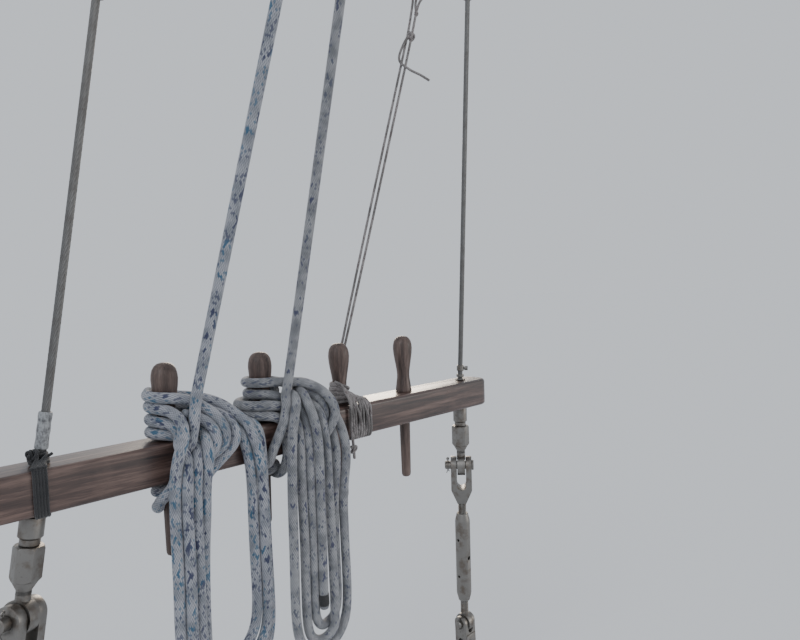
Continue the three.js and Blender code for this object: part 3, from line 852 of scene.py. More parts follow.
class Workshop:
    """Turns solids into pieces of the part, each in its finish."""

    def __init__(self) -> None:
        """Makes each finish's material once, for all the pieces that share it."""
        self.materials = {finish.slot: finish.material() for finish in FINISHES}

    def piece(
        self,
        name: str,
        solid: Solid,
        slot: Slot,
        nodes: Sequence[str],
        body: Body = Body.ROOT,
        axis: Axis | None = None,
    ) -> bpy.types.Object:
        """Makes a piece.

        Args:
            name: the piece's name.
            solid: its shape in millimetres.
            slot: its finish.
            nodes: the CAD nodes that it stands for.
            body: the CAD body that it rides on.
            axis: the line that the shape is laid out on, where it isn't the rail's frame.

        Returns:
            The finished object.
        """
        if axis:
            solid = solid.moved(axis.matrix())
        mesh = bpy.data.meshes.new(name)
        mesh.from_pydata(in_part(solid.points), [], solid.faces)
        if solid.turns is not None:
            layer = mesh.uv_layers.new(name="turns")
            layer.data.foreach_set("uv", solid.turns.astype(np.float32).ravel())
        mesh.validate()
        mesh.shade_smooth()
        mesh.set_sharp_from_angle(angle=math.radians(solid.sharp))
        mesh.materials.append(self.materials[slot])
        made = linked(name, mesh)
        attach(made, body.value)
        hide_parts(*nodes)
        return made


def in_part(points: np.ndarray) -> np.ndarray:
    """Points of the rail's frame in the part's frame, in metres."""
    return points * MILLIMETRE + np.array(RAIL_ORIGIN)


def declare_cord(piece: bpy.types.Object, line: np.ndarray, radius: float, **facts: object) -> None:
    """Logs the length of a free rope with a bare end.

    Args:
        piece: the rope.
        line: its centre line.
        radius: its radius.
        facts: its stiffness and lay, and the pieces on it, where it has some; not used.
    """
    path = in_part(line)
    length = float(np.linalg.norm(np.diff(path, axis=0), axis=1).sum())
    log.info("%s is %.3f m long", piece.name, length)
    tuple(path[0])
    2 * radius * MILLIMETRE
    [tuple(p) for p in path]


@dataclass
class Rail:
    """The hardwood rail with its rounded ends and edges, bored for pins and shrouds."""

    corner: float = 26.0
    edge: float = 6.0
    edge_angles: Sequence[int] = (0, 18, 36, 54, 72, 90)
    pin_hole: float = 9.9
    wire_hole: float = 6.2

    def blank(self) -> Solid:
        """The rail before it is bored.

        Returns:
            The solid, with its ends and edges rounded.
        """
        rounding = []
        for angle in map(math.radians, self.edge_angles):
            rounding.append((self.edge * (1 - math.sin(angle)), self.edge * (1 - math.cos(angle))))
        rows = [(inset, -RAIL_HEIGHT + rise) for inset, rise in rounding]
        rows += [(inset, -rise) for inset, rise in reversed(rounding)]
        middle = (RAIL_LEFT + RAIL_RIGHT) / 2
        length = RAIL_RIGHT - RAIL_LEFT
        rings = []
        for inset, z in rows:
            size = (length - 2 * inset, RAIL_DEPTH - 2 * inset)
            outline = rounded_rectangle(*size, self.corner - inset, 12)
            rings.append(np.array([(x + middle, y, z) for x, y in outline]))
        return stacked(rings)

    def build(self, shop: Workshop, shrouds: Sequence[Axis]) -> None:
        """Bores the rail and dresses it.

        Args:
            shop: where the piece is made.
            shrouds: the lines of the two shrouds.
        """
        holes = [bar(self.pin_hole, -RAIL_HEIGHT - 5, 5).shifted(x) for x in PIN_PLACES]
        holes += [bar(self.wire_hole, -RAIL_HEIGHT - 12, 12).moved(axis.matrix()) for axis in shrouds]
        solid = self.blank().machined(cut=holes)
        shop.piece("pin_rail_wood", solid, Slot.RAIL_WOOD, ["pin_rail"])


@dataclass
class BelayingPin:
    """A turned hardwood belaying pin."""

    number: int
    x: float
    body: Body = Body.ROOT
    tip: Profile = ((0.0, -154.0), (4.6, -153.8), (6.9, -152.4), (8.0, -149.6), (8.25, -146.0))
    shank: Profile = ((8.5, -130.0), (9.0, -95.0), (9.3, -60.0))
    foot: Profile = ((9.3, 0.3), (14.1, 0.3), (14.3, 2.0), (14.1, 4.0))
    waist: Profile = ((13.2, 11.0), (12.2, 19.0), (11.3, 25.0), (11.1, 30.0), (11.5, 37.0), (13.0, 47.5))
    head: Profile = (
        (14.9, 58.5), (16.4, 68.5), (17.1, 78.0), (16.6, 84.5), (15.2, 90.5), (12.6, 95.0), (9.0, 98.0),
        (4.6, 99.4), (0.0, 99.7),
    )

    def build(self, shop: Workshop) -> None:
        """Turns the pin and dresses it.

        Args:
            shop: where the piece is made.
        """
        profile = [*self.tip, *self.shank, *self.foot, *self.waist, *self.head]
        solid = lathe(profile, sides=44, sharp=50.0)
        name = f"belaying_pin_{self.number}"
        shop.piece(f"{name}_wood", solid.shifted(self.x), Slot.PIN_WOOD, [name], self.body)


@dataclass
class ShroudFittings:
    """One shroud from its eye aloft to its chainplate."""

    side: str
    wire_axis: Axis
    lower_axis: Axis
    terminal_top: float
    wire_top: float
    barrel: Body
    clevis_drop: float = 171.6
    jaw_width: float = 41.0
    jaw_slot: float = 18.0
    stud_radius: float = 8.0
    body_top: float = -98.4
    body_length: float = 183.0
    stud_grip: float = 62.0
    eye_drop: float = 328.4
    pin_spacing: float = 50.0
    thread_pitch: float = 1.6
    thread_depth: float = 0.9
    wire_lay: float = 96.0
    strap_half_width: float = 22.0
    bolt_drops: Sequence[float] = (70.0, 105.0, 140.0, 175.0)

    def wire(self) -> Solid:
        """Twelve outer wires laid round the core, as one lobed and twisted bar.

        Returns:
            The wire.
        """
        lobes, per_lobe, row_height = 12, 6, 4
        outer = WIRE_RADIUS * math.sin(math.pi / lobes) / (1 + math.sin(math.pi / lobes))
        section = []
        for middle in np.linspace(0, 360, lobes, endpoint=False):
            centre = arc((0, 0), WIRE_RADIUS - outer, middle, middle, 1)[0]
            section += arc(centre, outer, middle - 75, middle + 75, per_lobe)
        flat = np.array(section)
        low, high = self.terminal_top + 0.7, self.wire_top
        rings = []
        for z in np.linspace(low, high, round((high - low) / row_height)):
            spin = 2 * math.pi * z / self.wire_lay
            turn = np.array(((math.cos(spin), math.sin(spin)), (-math.sin(spin), math.cos(spin))))
            rings.append(np.column_stack([flat @ turn, np.full(len(flat), z)]))
        return stacked(rings, sharp=70.0)

    def thread(self, low: float, high: float) -> Solid:
        """Cuts a stud's screw thread.

        Args:
            low: the height of its lower end.
            high: the height of its upper end.

        Returns:
            The threaded bar.
        """
        sides, steps = 24, 6
        angles = np.linspace(0, 2 * math.pi, sides, endpoint=False)
        rings = []
        for z in np.arange(low, high, self.thread_pitch / steps):
            phase = (z / self.thread_pitch - angles / (2 * math.pi)) % 1
            radius = self.stud_radius - self.thread_depth * np.abs(2 * phase - 1)
            ring = [radius * np.cos(angles), radius * np.sin(angles), np.full(sides, z)]
            rings.append(np.column_stack(ring))
        return stacked(rings, sharp=40.0)

    def top_eye(self) -> Solid:
        """A forged ring on a long swaged stem.

        Returns:
            The eye with its stem.
        """
        height = self.wire_top + 60
        section = arc((16, 0), 5, 0, 342, 20)
        ring = lathe([*section, section[0]], sides=40, sharp=50.0).along_y().shifted(z=height)
        stem = (
            (5.1, 86.0), (8.4, 86.0), (9.0, 84.6), (9.0, 34.0), (7.6, 27.0), (6.4, 20.0), (6.0, 14.5),
            (5.1, 14.5), (5.1, 86.0),
        )
        return ring.joined(lathe([(radius, height - drop) for radius, drop in stem], 36))

    @staticmethod
    def lug(neck: Solid, drop: float, radius: float, half: float, hole: float, sides: int) -> Solid:
        """Welds a flat eye across X on its neck and bores it.

        Args:
            neck: the round neck above it.
            drop: how far down the eye's centre is.
            radius: the eye's radius.
            half: half its thickness.
            hole: its bore's radius.
            sides: its number of sides.

        Returns:
            The lug with its neck.
        """
        eye = bar(radius, -half, half, sides).along_x().shifted(z=-drop)
        bore = bar(hole, -20, 20).along_x().shifted(z=-drop)
        return neck.machined(add=[eye], cut=[bore], edge=0.9)

    def terminal(self) -> Solid:
        """The compression terminal: tapered nose, hexagon and an eye for the clevis pin.

        Returns:
            The terminal, hanging below the rail.
        """
        top = self.terminal_top
        sleeve = [(0.0, -90.6), (10.4, -90.6), (11.0, -90.0), (11.0, -83.4), (12.6, -81.8), (13.5, -80.8)]
        sleeve += [(13.5, top - 3.0), (12.9, top - 1.0), (11.2, top), (5.6, top)]
        sleeve += [(5.6, top - 2.0), (0.0, top - 2.0)]
        chamfers = [(0.0, -131.5), (14.6, -130.5), (17.2, -127.4), (17.2, -94.0), (15.2, -91.0), (0.0, -90.5)]
        hexagon = prism(arc((0, 0), 17.0, 0, 300, 6), -130.5, -91.0)
        body = hexagon.machined(keep=[lathe(chamfers)], edge=0.5)
        taper = [(0.0, -146.0), (8.3, -146.0), (8.3, -141.4), (13.8, -131.4), (13.8, -129.0), (0.0, -129.0)]
        shank = bar(8.3, -self.clevis_drop + 12, -141)
        eye = self.lug(shank, self.clevis_drop, radius=20.0, half=7.6, hole=8.6, sides=56)
        return lathe(sleeve).joined(body, lathe(taper), eye)

    def jaw(self) -> Solid:
        """The upper jaw, forged as a fork above its threaded stud.

        Returns:
            The jaw, its pin's axis at the middle.
        """
        half, slot = self.jaw_width / 2, self.jaw_slot / 2
        prong = [(half - 1.5, -51.5), (half, -47.0), (half, 17.6), (slot, 17.6)]
        crotch = arc((0, -46.6 + slot), slot, 0, -180, 17)
        outline = [(-8.5, -77.6), (8.5, -77.6), *prong, *crotch, *mirrored(prong)]
        fork = prism(outline, -20.0, 20.0).along_y_up()
        flank = [(8.2, -77.6), (12.6, -60.0), (17.6, -42.0)]
        side = [(-8.0, -82.0), (8.0, -82.0), *flank, *arc((0, 0), 17.6, 0, 180, 29), *mirrored(flank)]
        profile = prism(side, -30.0, 30.0).along_y_up().moved(QUARTER_TURN)
        hole = bar(8.3, -30, 30).along_x()
        fork = fork.machined(keep=[profile], cut=[hole], edge=1.2)
        low = self.body_top - self.stud_grip
        core = bar(7.1, low, -76.0)
        return fork.joined(core, self.thread(low + 0.4, -77.8))

    @staticmethod
    def clevis_pin(radius: float, head: float, grip: float, tail: float) -> Solid:
        """Makes a clevis pin along X with a split pin through its end.

        Args:
            radius: the pin's radius.
            head: its flat head's radius, at +X.
            grip: half the width that it holds.
            tail: how far it stands out at -X.

        Returns:
            Both pins.
        """
        pin = [(0.0, -grip - tail), (radius - 1.5, -grip - tail), (radius, -grip - tail + 1.5)]
        pin += [(radius, grip + 0.3), (head - 0.6, grip + 0.3), (head, grip + 0.9), (head, grip + 3.0)]
        pin += [(head - 0.5, grip + 3.9), (head - 1.6, grip + 4.3), (0.0, grip + 4.3)]
        wire = 0.85
        reach = radius + 2.6
        parts = []
        for sign in (-1, 1):
            leg = [
                (0.9 * sign, 0.0, reach + 3.2), (0.95 * sign, 0.0, reach - 1.0), (0.9 * sign, 0.0, 0.0),
                (0.9 * sign, 0.0, -reach + 1.0), (1.6 * sign, 2.2 * sign, -reach - 2.0),
                (2.6 * sign, 5.0 * sign, -reach - 3.4),
            ]
            parts.append(tube(smooth(leg, 1.0), wire, 8))
        rise = [(0.9, 0.0, reach), (2.5, 0.0, reach + 2.6)]
        loop = [*rise, (0.0, 0.0, reach + 4.8), *mirrored(rise)]
        parts.append(tube(smooth(loop, 0.8), wire, 8))
        return lathe(pin).along_x().joined(*[part.shifted(x=-grip - tail / 2) for part in parts])

    def turnbuckle(self) -> Solid:
        """The closed body, tapered at both ends, with two sight holes and one for a turning bar.

        Returns:
            The body, below the jaw's pin.
        """
        low, high = self.body_top - self.body_length, self.body_top
        taper = ((8.5, 0.0), (10.4, 0.0), (11.5, 1.1), (12.2, 5.0), (14.2, 12.0), (15.0, 17.0))
        profile = [(radius, low + rise) for radius, rise in taper]
        profile += [(radius, high - rise) for radius, rise in reversed(taper)]
        middle = (low + high) / 2
        holes = [bar(2.6, -30, 30, 20).along_x().shifted(z=middle + offset) for offset in (-38, 38)]
        holes.append(bar(4.0, -30, 30, 24).along_y().shifted(z=middle))
        return lathe([*profile, profile[0]], 48).machined(cut=holes, edge=0.3)

    def lower_stud(self) -> Solid:
        """The lower stud: a thread above an eye.

        Returns:
            The stud, below the jaw's pin.
        """
        top = self.body_top - self.body_length + self.stud_grip
        neck_low, neck_high = -self.eye_drop + 12, -self.eye_drop + 24
        neck = bar(6.6, neck_low, neck_high)
        eye = self.lug(neck, self.eye_drop, radius=18.0, half=6.0, hole=7.4, sides=52)
        profile = ((0.0, 6), (6.6, 6), (7.9, 4.5), (7.9, 1.5), (6.6, 0), (0.0, 0))
        collar = lathe([(radius, neck_high - drop) for radius, drop in profile])
        return eye.joined(collar, self.thread(neck_high - 3, top - 0.2))

    def toggle(self) -> Solid:
        """The toggle: two jaws set across each other, each closed by its own pin.

        Returns:
            The toggle, its upper pin's axis at the middle.
        """
        slot, width, reach = 13.4, 31.4, 15.0
        middle = -self.pin_spacing / 2
        upper_outline = [(-14.0, middle - 3), (14.0, middle - 3), *arc((0, 0), 14.6, 0, 180, 25)]
        lower_outline = arc((0, -self.pin_spacing), 14.6, 180, 360, 25)
        lower_outline += [(14.0, middle + 3), (-14.0, middle + 3)]
        upper = prism(upper_outline, -width / 2, width / 2).along_y_up().moved(QUARTER_TURN)
        lower = prism(lower_outline, -width / 2, width / 2).along_y_up()
        gap = prism(rounded_rectangle(slot, 60.0, 6.2), -30, 30).along_y_up()
        gaps = [gap.shifted(z=middle + 36), gap.moved(QUARTER_TURN).shifted(z=middle - 36)]
        hole = bar(7.4, -30, 30)
        holes = [hole.along_x(), hole.along_y().shifted(z=-self.pin_spacing)]
        box = prism(rounded_rectangle(width, width, 4.0), -self.pin_spacing - reach, reach)
        return upper.machined(add=[lower], keep=[box], cut=[*gaps, *holes], edge=0.9)

    def chainplate(self) -> Solid:
        """The strap chainplate with its bolt heads, its outer face on the hull's side.

        Returns:
            The strap, its pin's axis at the middle.
        """
        side = self.strap_half_width - 4
        outline = [(-side, -210.0), (side, -210.0), *arc((0, 0), side, 0, 180, 33)]
        hole = bar(7.4, -20, 20).along_y()
        strap = prism(outline, -5.0, 5.0).along_y_up().machined(cut=[hole], edge=0.8)
        hexagon = prism(arc((0, 0), 8.6, 0, 300, 6), 0.0, 5.0)
        crown = lathe([(0.0, -1.0), (9.0, -1.0), (9.0, 4.0), (7.6, 5.0), (0.0, 5.2)])
        washer = bar(9.6, 0.0, 1.2, 28, 0.2)
        bolt = hexagon.machined(keep=[crown]).shifted(z=1.2).joined(washer).along_y_up()
        return strap.joined(*[bolt.shifted(y=-4.9, z=-drop) for drop in self.bolt_drops])

    def build(self, shop: Workshop) -> None:
        """Builds every fitting of the shroud and dresses it.

        Args:
            shop: where the pieces are made.
        """
        fork = Axis(self.lower_axis.at(-self.clevis_drop), self.lower_axis.lean, self.lower_axis.turn)
        screw = Axis(fork.foot, fork.lean)
        hull = Axis(screw.at(-self.eye_drop), (self.lower_axis.lean[0], 0.0))
        clevis = self.clevis_pin(radius=8.0, head=10.0, grip=self.jaw_width / 2, tail=12.0)
        toggle_pin = self.clevis_pin(radius=7.0, head=9.5, grip=15.7, tail=6.0)
        hull_pin = toggle_pin.moved(QUARTER_TURN).shifted(z=-self.pin_spacing)
        strap = self.chainplate().shifted(z=-self.pin_spacing)
        fittings = (
            ("wire_strands", self.wire(), "shroud_wire", self.wire_axis),
            ("eye_aloft", self.top_eye(), "shroud_top_eye", self.wire_axis),
            ("swage_terminal", self.terminal(), "terminal", self.lower_axis),
            ("fork", self.jaw(), "upper_jaw", fork),
            ("fork_pin", clevis, "clevis_pin", fork),
            ("screw_body", self.turnbuckle(), "turnbuckle_body", screw),
            ("eye_stud", self.lower_stud(), "lower_stud", screw),
            ("double_toggle", self.toggle(), "toggle", hull),
            ("upper_toggle_pin", toggle_pin, "toggle_pin", hull),
            ("lower_toggle_pin", hull_pin, "chainplate_pin", hull),
            ("hull_strap", strap, "chainplate", hull),
        )
        for name, solid, node, axis in fittings:
            slot = Slot.WIRE if name == "wire_strands" else Slot.STAINLESS
            body = self.barrel if name == "screw_body" else Body.ROOT
            shop.piece(f"{self.side}_{name}", solid, slot, [f"{self.side}_{node}"], body, axis)


@dataclass
class StopCollars:
    """The washer on the rail and the two collars above it, the upper one with a thumb screw."""

    axis: Axis
    bore: float = 5.05
    knob_turn: float = -50.0
    knob_height: float = 24.0
    knob_grips: int = 14
    knob_radii: Flat = (3.8, 4.3)

    def ring(self, radius: float, low: float, high: float, edge: float) -> Solid:
        """Makes a bored collar.

        Args:
            radius: its outer radius.
            low: the height of its lower face.
            high: the height of its upper face.
            edge: how much is broken off its outer edges.

        Returns:
            The collar.
        """
        corner = (self.bore, low)
        outside = [(radius - edge, low), (radius, low + edge), (radius, high - edge), (radius - edge, high)]
        return lathe([corner, *outside, (self.bore, high), corner])

    def thumb_screw(self) -> Solid:
        """A knurled knob on a short neck, along X.

        Returns:
            The screw.
        """
        outline = []
        for i in range(2 * self.knob_grips):
            angle = math.pi * i / self.knob_grips
            radius = self.knob_radii[i % 2]
            outline.append((radius * math.cos(angle), radius * math.sin(angle)))
        knob = prism(outline, 8.0, 14.6).machined(edge=0.3)
        return knob.joined(bar(2.6, 5.0, 8.6, 20)).along_x()

    def build(self, shop: Workshop) -> None:
        """Builds the three fittings.

        Args:
            shop: where the pieces are made.
        """
        turn = Matrix.Rotation(math.radians(self.knob_turn), 4, "Z")
        screw = self.thumb_screw().moved(turn).shifted(z=self.knob_height)
        fittings = (
            ("right_washer", self.ring(10.0, 1.0, 3.2, 0.5), "right_rail_washer"),
            ("right_stop_collar", self.ring(7.4, 6.5, 12.0, 0.8), "right_lower_collar"),
            ("right_screw_collar", self.ring(7.0, 18.5, 29.5, 0.9).joined(screw), "right_upper_collar"),
        )
        for name, solid, node in fittings:
            shop.piece(name, solid, Slot.STAINLESS, [node], axis=self.axis)


@dataclass
class LeftSeizing:
    """The grey sleeve on the left shroud, and the tarred cord that binds the rail to the wire."""

    axis: Axis
    cord: float = 1.75
    band: Flat = (-18.0, -2.4)
    slant: float = 11.0
    turns: int = 5

    def sleeve(self) -> Solid:
        """A soft sleeve, a little swollen here and there.

        Returns:
            The sleeve, round the shroud.
        """
        profile = [
            (5.1, 17.8), (6.6, 17.6), (7.3, 18.6), (7.4, 23.0), (7.0, 28.0), (6.9, 33.0), (7.4, 38.0),
            (7.3, 43.0), (6.9, 47.0), (7.3, 52.0), (7.6, 56.5), (7.1, 59.2), (6.0, 60.0), (5.1, 60.0),
        ]
        return lathe([*profile, profile[0]])

    def round_rail(self) -> np.ndarray:
        """Turns of cord side by side round the rail, which cross its top aslant to the wire.

        Returns:
            The cord's points.
        """
        grow = self.cord + 0.25
        outline = rounded_rectangle(RAIL_DEPTH + 2 * grow, RAIL_HEIGHT + 2 * grow, 6.0 + grow, 5)
        low, high = self.band
        route = []
        total = self.turns * len(outline)
        for i in range(total + 1):
            y, z = outline[i % len(outline)]
            x = low + (high - low) * i / total + self.slant * (1 + 2 * y / RAIL_DEPTH)
            route.append((x, y, z - RAIL_HEIGHT / 2))
        return spaced(np.array(route), 1.8)

    def round_wire(self) -> np.ndarray:
        """Turns of cord heaped round the wire above the rail.

        Returns:
            The cord's points.
        """
        route = []
        steps, heaped = 170, 8.5
        for i in range(steps + 1):
            share = i / steps
            angle = 2 * math.pi * heaped * share + 0.4
            z = 2.2 + 12.6 * (0.5 - 0.5 * math.cos(2 * math.pi * 1.5 * share)) + 0.8 * math.sin(angle)
            radius = 9.4 - 0.2 * z + 0.9 * math.sin(1.7 * angle)
            route.append((radius * math.cos(angle), radius * math.sin(angle), z))
        return smooth(route, 1.4)

    def crossings(self) -> np.ndarray:
        """Cord that crosses the heap from the front of the rail to its back, round the wire.

        Returns:
            The cord's points.
        """
        route = []
        passes, apart = 7, 2.5
        for k in range(passes):
            front = self.band[0] + apart * k
            back = front + 2 * self.slant
            side = 7.2 + 0.3 * k if k % 2 else -8.0 - 0.3 * k
            height = 13.5 - 1.3 * k
            across = [
                (front, -30.0, 2.6), (0.55 * front + 0.2 * side, -20, 5.5), (0.6 * side, -10, height - 1),
                (side, -3, height), (side, 4, height), (0.3 * back + 0.4 * side, 17, 7.0), (back, 30.0, 2.6),
            ]
            route += reversed(across) if k % 2 else across
        return smooth(route, 1.4)

    def knot(self) -> np.ndarray:
        """The lump at the left: an overhand knot in the cord.

        Returns:
            The cord's points.
        """
        route = []
        steps, rounds = 60, 1.6
        for i in range(steps + 1):
            t = 2 * math.pi * i / steps * rounds
            radius = 4.2 + 2.0 * math.cos(2.5 * t)
            x, y, z = radius * math.cos(t), 0.9 * radius * math.sin(t), 4.0 * math.sin(2.5 * t)
            route.append((x - 9, y - 9, z + 14))
        return smooth(route, 1.2)

    def build(self, shop: Workshop) -> None:
        """Builds the sleeve and the seizing.

        Args:
            shop: where the pieces are made.
        """
        shop.piece("left_wire_sleeve", self.sleeve(), Slot.SLEEVE, ["left_sleeve"], axis=self.axis)
        lines = {
            "rail_turns": self.round_rail(),
            "wire_turns": self.round_wire(),
            "crossings": self.crossings(),
            "knot": self.knot(),
            "free_end": smooth([(2, -7, 8), (5, -8.5, 9.5), (8, -10, 10.5), (10.5, -11, 12)], 1.2),
        }
        for name, line in lines.items():
            solid = tube(line, self.cord, 8).shifted(self.axis.foot[0])
            shop.piece(f"left_seizing_{name}", solid, Slot.TARRED_CORD, ["left_seizing"])


def turn_round(
    start: float,
    end: float,
    low: float,
    high: float,
    radius: float,
    centre: float = 0.0,
    end_radius: float | None = None,
) -> list[Point]:
    """Part of a turn round a belaying pin.

    Args:
        start: the first angle, in degrees from +X.
        end: the last angle.
        low: the height at the first angle.
        high: the height at the last one.
        radius: the distance from the pin's axis.
        centre: the pin's place along the rail.
        end_radius: the distance at the last angle, where it isn't the same.

    Returns:
        The route's points.
    """
    degrees_apart = 22.5
    count = max(2, int(abs(end - start) / degrees_apart) + 1)
    angles = np.radians(np.linspace(start, end, count))
    heights = np.linspace(low, high, count)
    radii = np.linspace(radius, radius if end_radius is None else end_radius, count)
    return [(centre + r * math.cos(a), r * math.sin(a), h) for a, h, r in zip(angles, heights, radii)]


def hanging_loop(a: Flat, b: Flat, lowest: float) -> list[Point]:
    """The lower part of a coil's loop, down from one strand and up to another.

    Args:
        a: the first strand's place in X and Y.
        b: the second strand's.
        lowest: the height of the rope's centre at the bottom.

    Returns:
        The route's points.
    """
    half = abs(b[0] - a[0]) / 2
    bend = lowest + half
    # The waist lies this share of the way down from the neck, under the turns, to the bend
    neck, down = -80, 0.45
    waist = bend * down + neck * (1 - down)
    route = [(*a, waist), (*a, bend)]
    steps = 6
    for k in range(1, steps):
        t = math.pi * k / steps
        share = (1 - math.cos(t)) / 2
        x, y = (a[i] + (b[i] - a[i]) * share for i in range(2))
        route.append((x, y, bend - half * math.sin(t)))
    return [*route, (*b, bend), (*b, waist)]


@dataclass
class Strand:
    """One stretch of a rope: its route, and whether it hangs free."""

    name: str
    route: list[Point]
    nodes: tuple[str, ...]
    free: bool = False
    whipped: bool = False
    line: np.ndarray = field(init=False)


@dataclass
class Halyard:
    """A halyard made fast on its pin: standing part, turns, coil and the eye aloft."""

    name: str
    radius: float
    slot: Slot
    axis: Axis
    top: float
    strands: list[Strand]

    def whipping(self, strand: Strand) -> Solid:
        """Winds twine round the end of a strand.

        Args:
            strand: the strand, after it has settled.

        Returns:
            The twine.
        """
        line = spaced(strand.line, 1.0)
        direction = line[-1] - line[-6]
        direction /= np.linalg.norm(direction)
        side = np.cross(direction, (0.9, 0.3, 0.1))
        side /= np.linalg.norm(side)
        other = np.cross(direction, side)
        pitch, turns, per_turn = 1.1, 15, 14
        reach = self.radius + 0.35
        route = []
        for i in range(turns * per_turn + 1):
            angle = 2 * math.pi * i / per_turn
            at = line[-1] - direction * (3.0 + pitch * i / per_turn)
            route.append(at + reach * (math.cos(angle) * side + math.sin(angle) * other))
        return tube(np.array(route), 0.62, 6)

    def eye(self) -> Solid:
        """A spliced eye of rope above a seized throat.

        Returns:
            The eye, its throat at the foot.
        """
        angles = np.linspace(0.42, 2 * math.pi - 0.42, 30)
        ring = [(22 * math.sin(a), 0.0, 52 - 22 * math.cos(a)) for a in angles]
        leg = [(3.4, 0.0, -6.0), (4.2, 0.0, 6.0), (4.6, 0.0, 22.0)]
        return tube(smooth([*leg, *ring, *mirrored(leg)], 2.4), self.radius - 1.2, 16)

    def throat(self) -> Solid:
        """The twine round the eye's throat.

        Returns:
            The twine.
        """
        turns, per_turn = 15, 18
        route = []
        for i in range(turns * per_turn + 1):
            angle = 2 * math.pi * i / per_turn
            z = -4 + 32 * i / (turns * per_turn)
            route.append(((self.radius + 2.2) * math.cos(angle), (self.radius + 1.0) * math.sin(angle), z))
        return tube(np.array(route), 1.05, 6)

    def build(self, shop: Workshop) -> None:
        """Builds the rope's strands and its eye.

        Args:
            shop: where the pieces are made.
        """
        twine = Slot.TARRED_CORD
        for strand in self.strands:
            name = f"{self.name}_{strand.name}"
            piece = shop.piece(name, tube(strand.line, self.radius), self.slot, strand.nodes)
            on_it = []
            if strand.whipped:
                on_it.append(shop.piece(f"{name}_whipping", self.whipping(strand), twine, strand.nodes))
            if strand.free:
                declare_cord(
                    piece, strand.line, self.radius, stiffness="limp", lay="coiled", with_pieces=on_it
                )
        aloft = Axis(self.axis.at(self.top - self.axis.foot[2]), self.axis.lean)
        node = f"{self.name}_top_eye"
        shop.piece(f"{self.name}_eye_aloft", self.eye(), self.slot, [node], axis=aloft)
        shop.piece(f"{self.name}_eye_throat", self.throat(), twine, [node], axis=aloft)


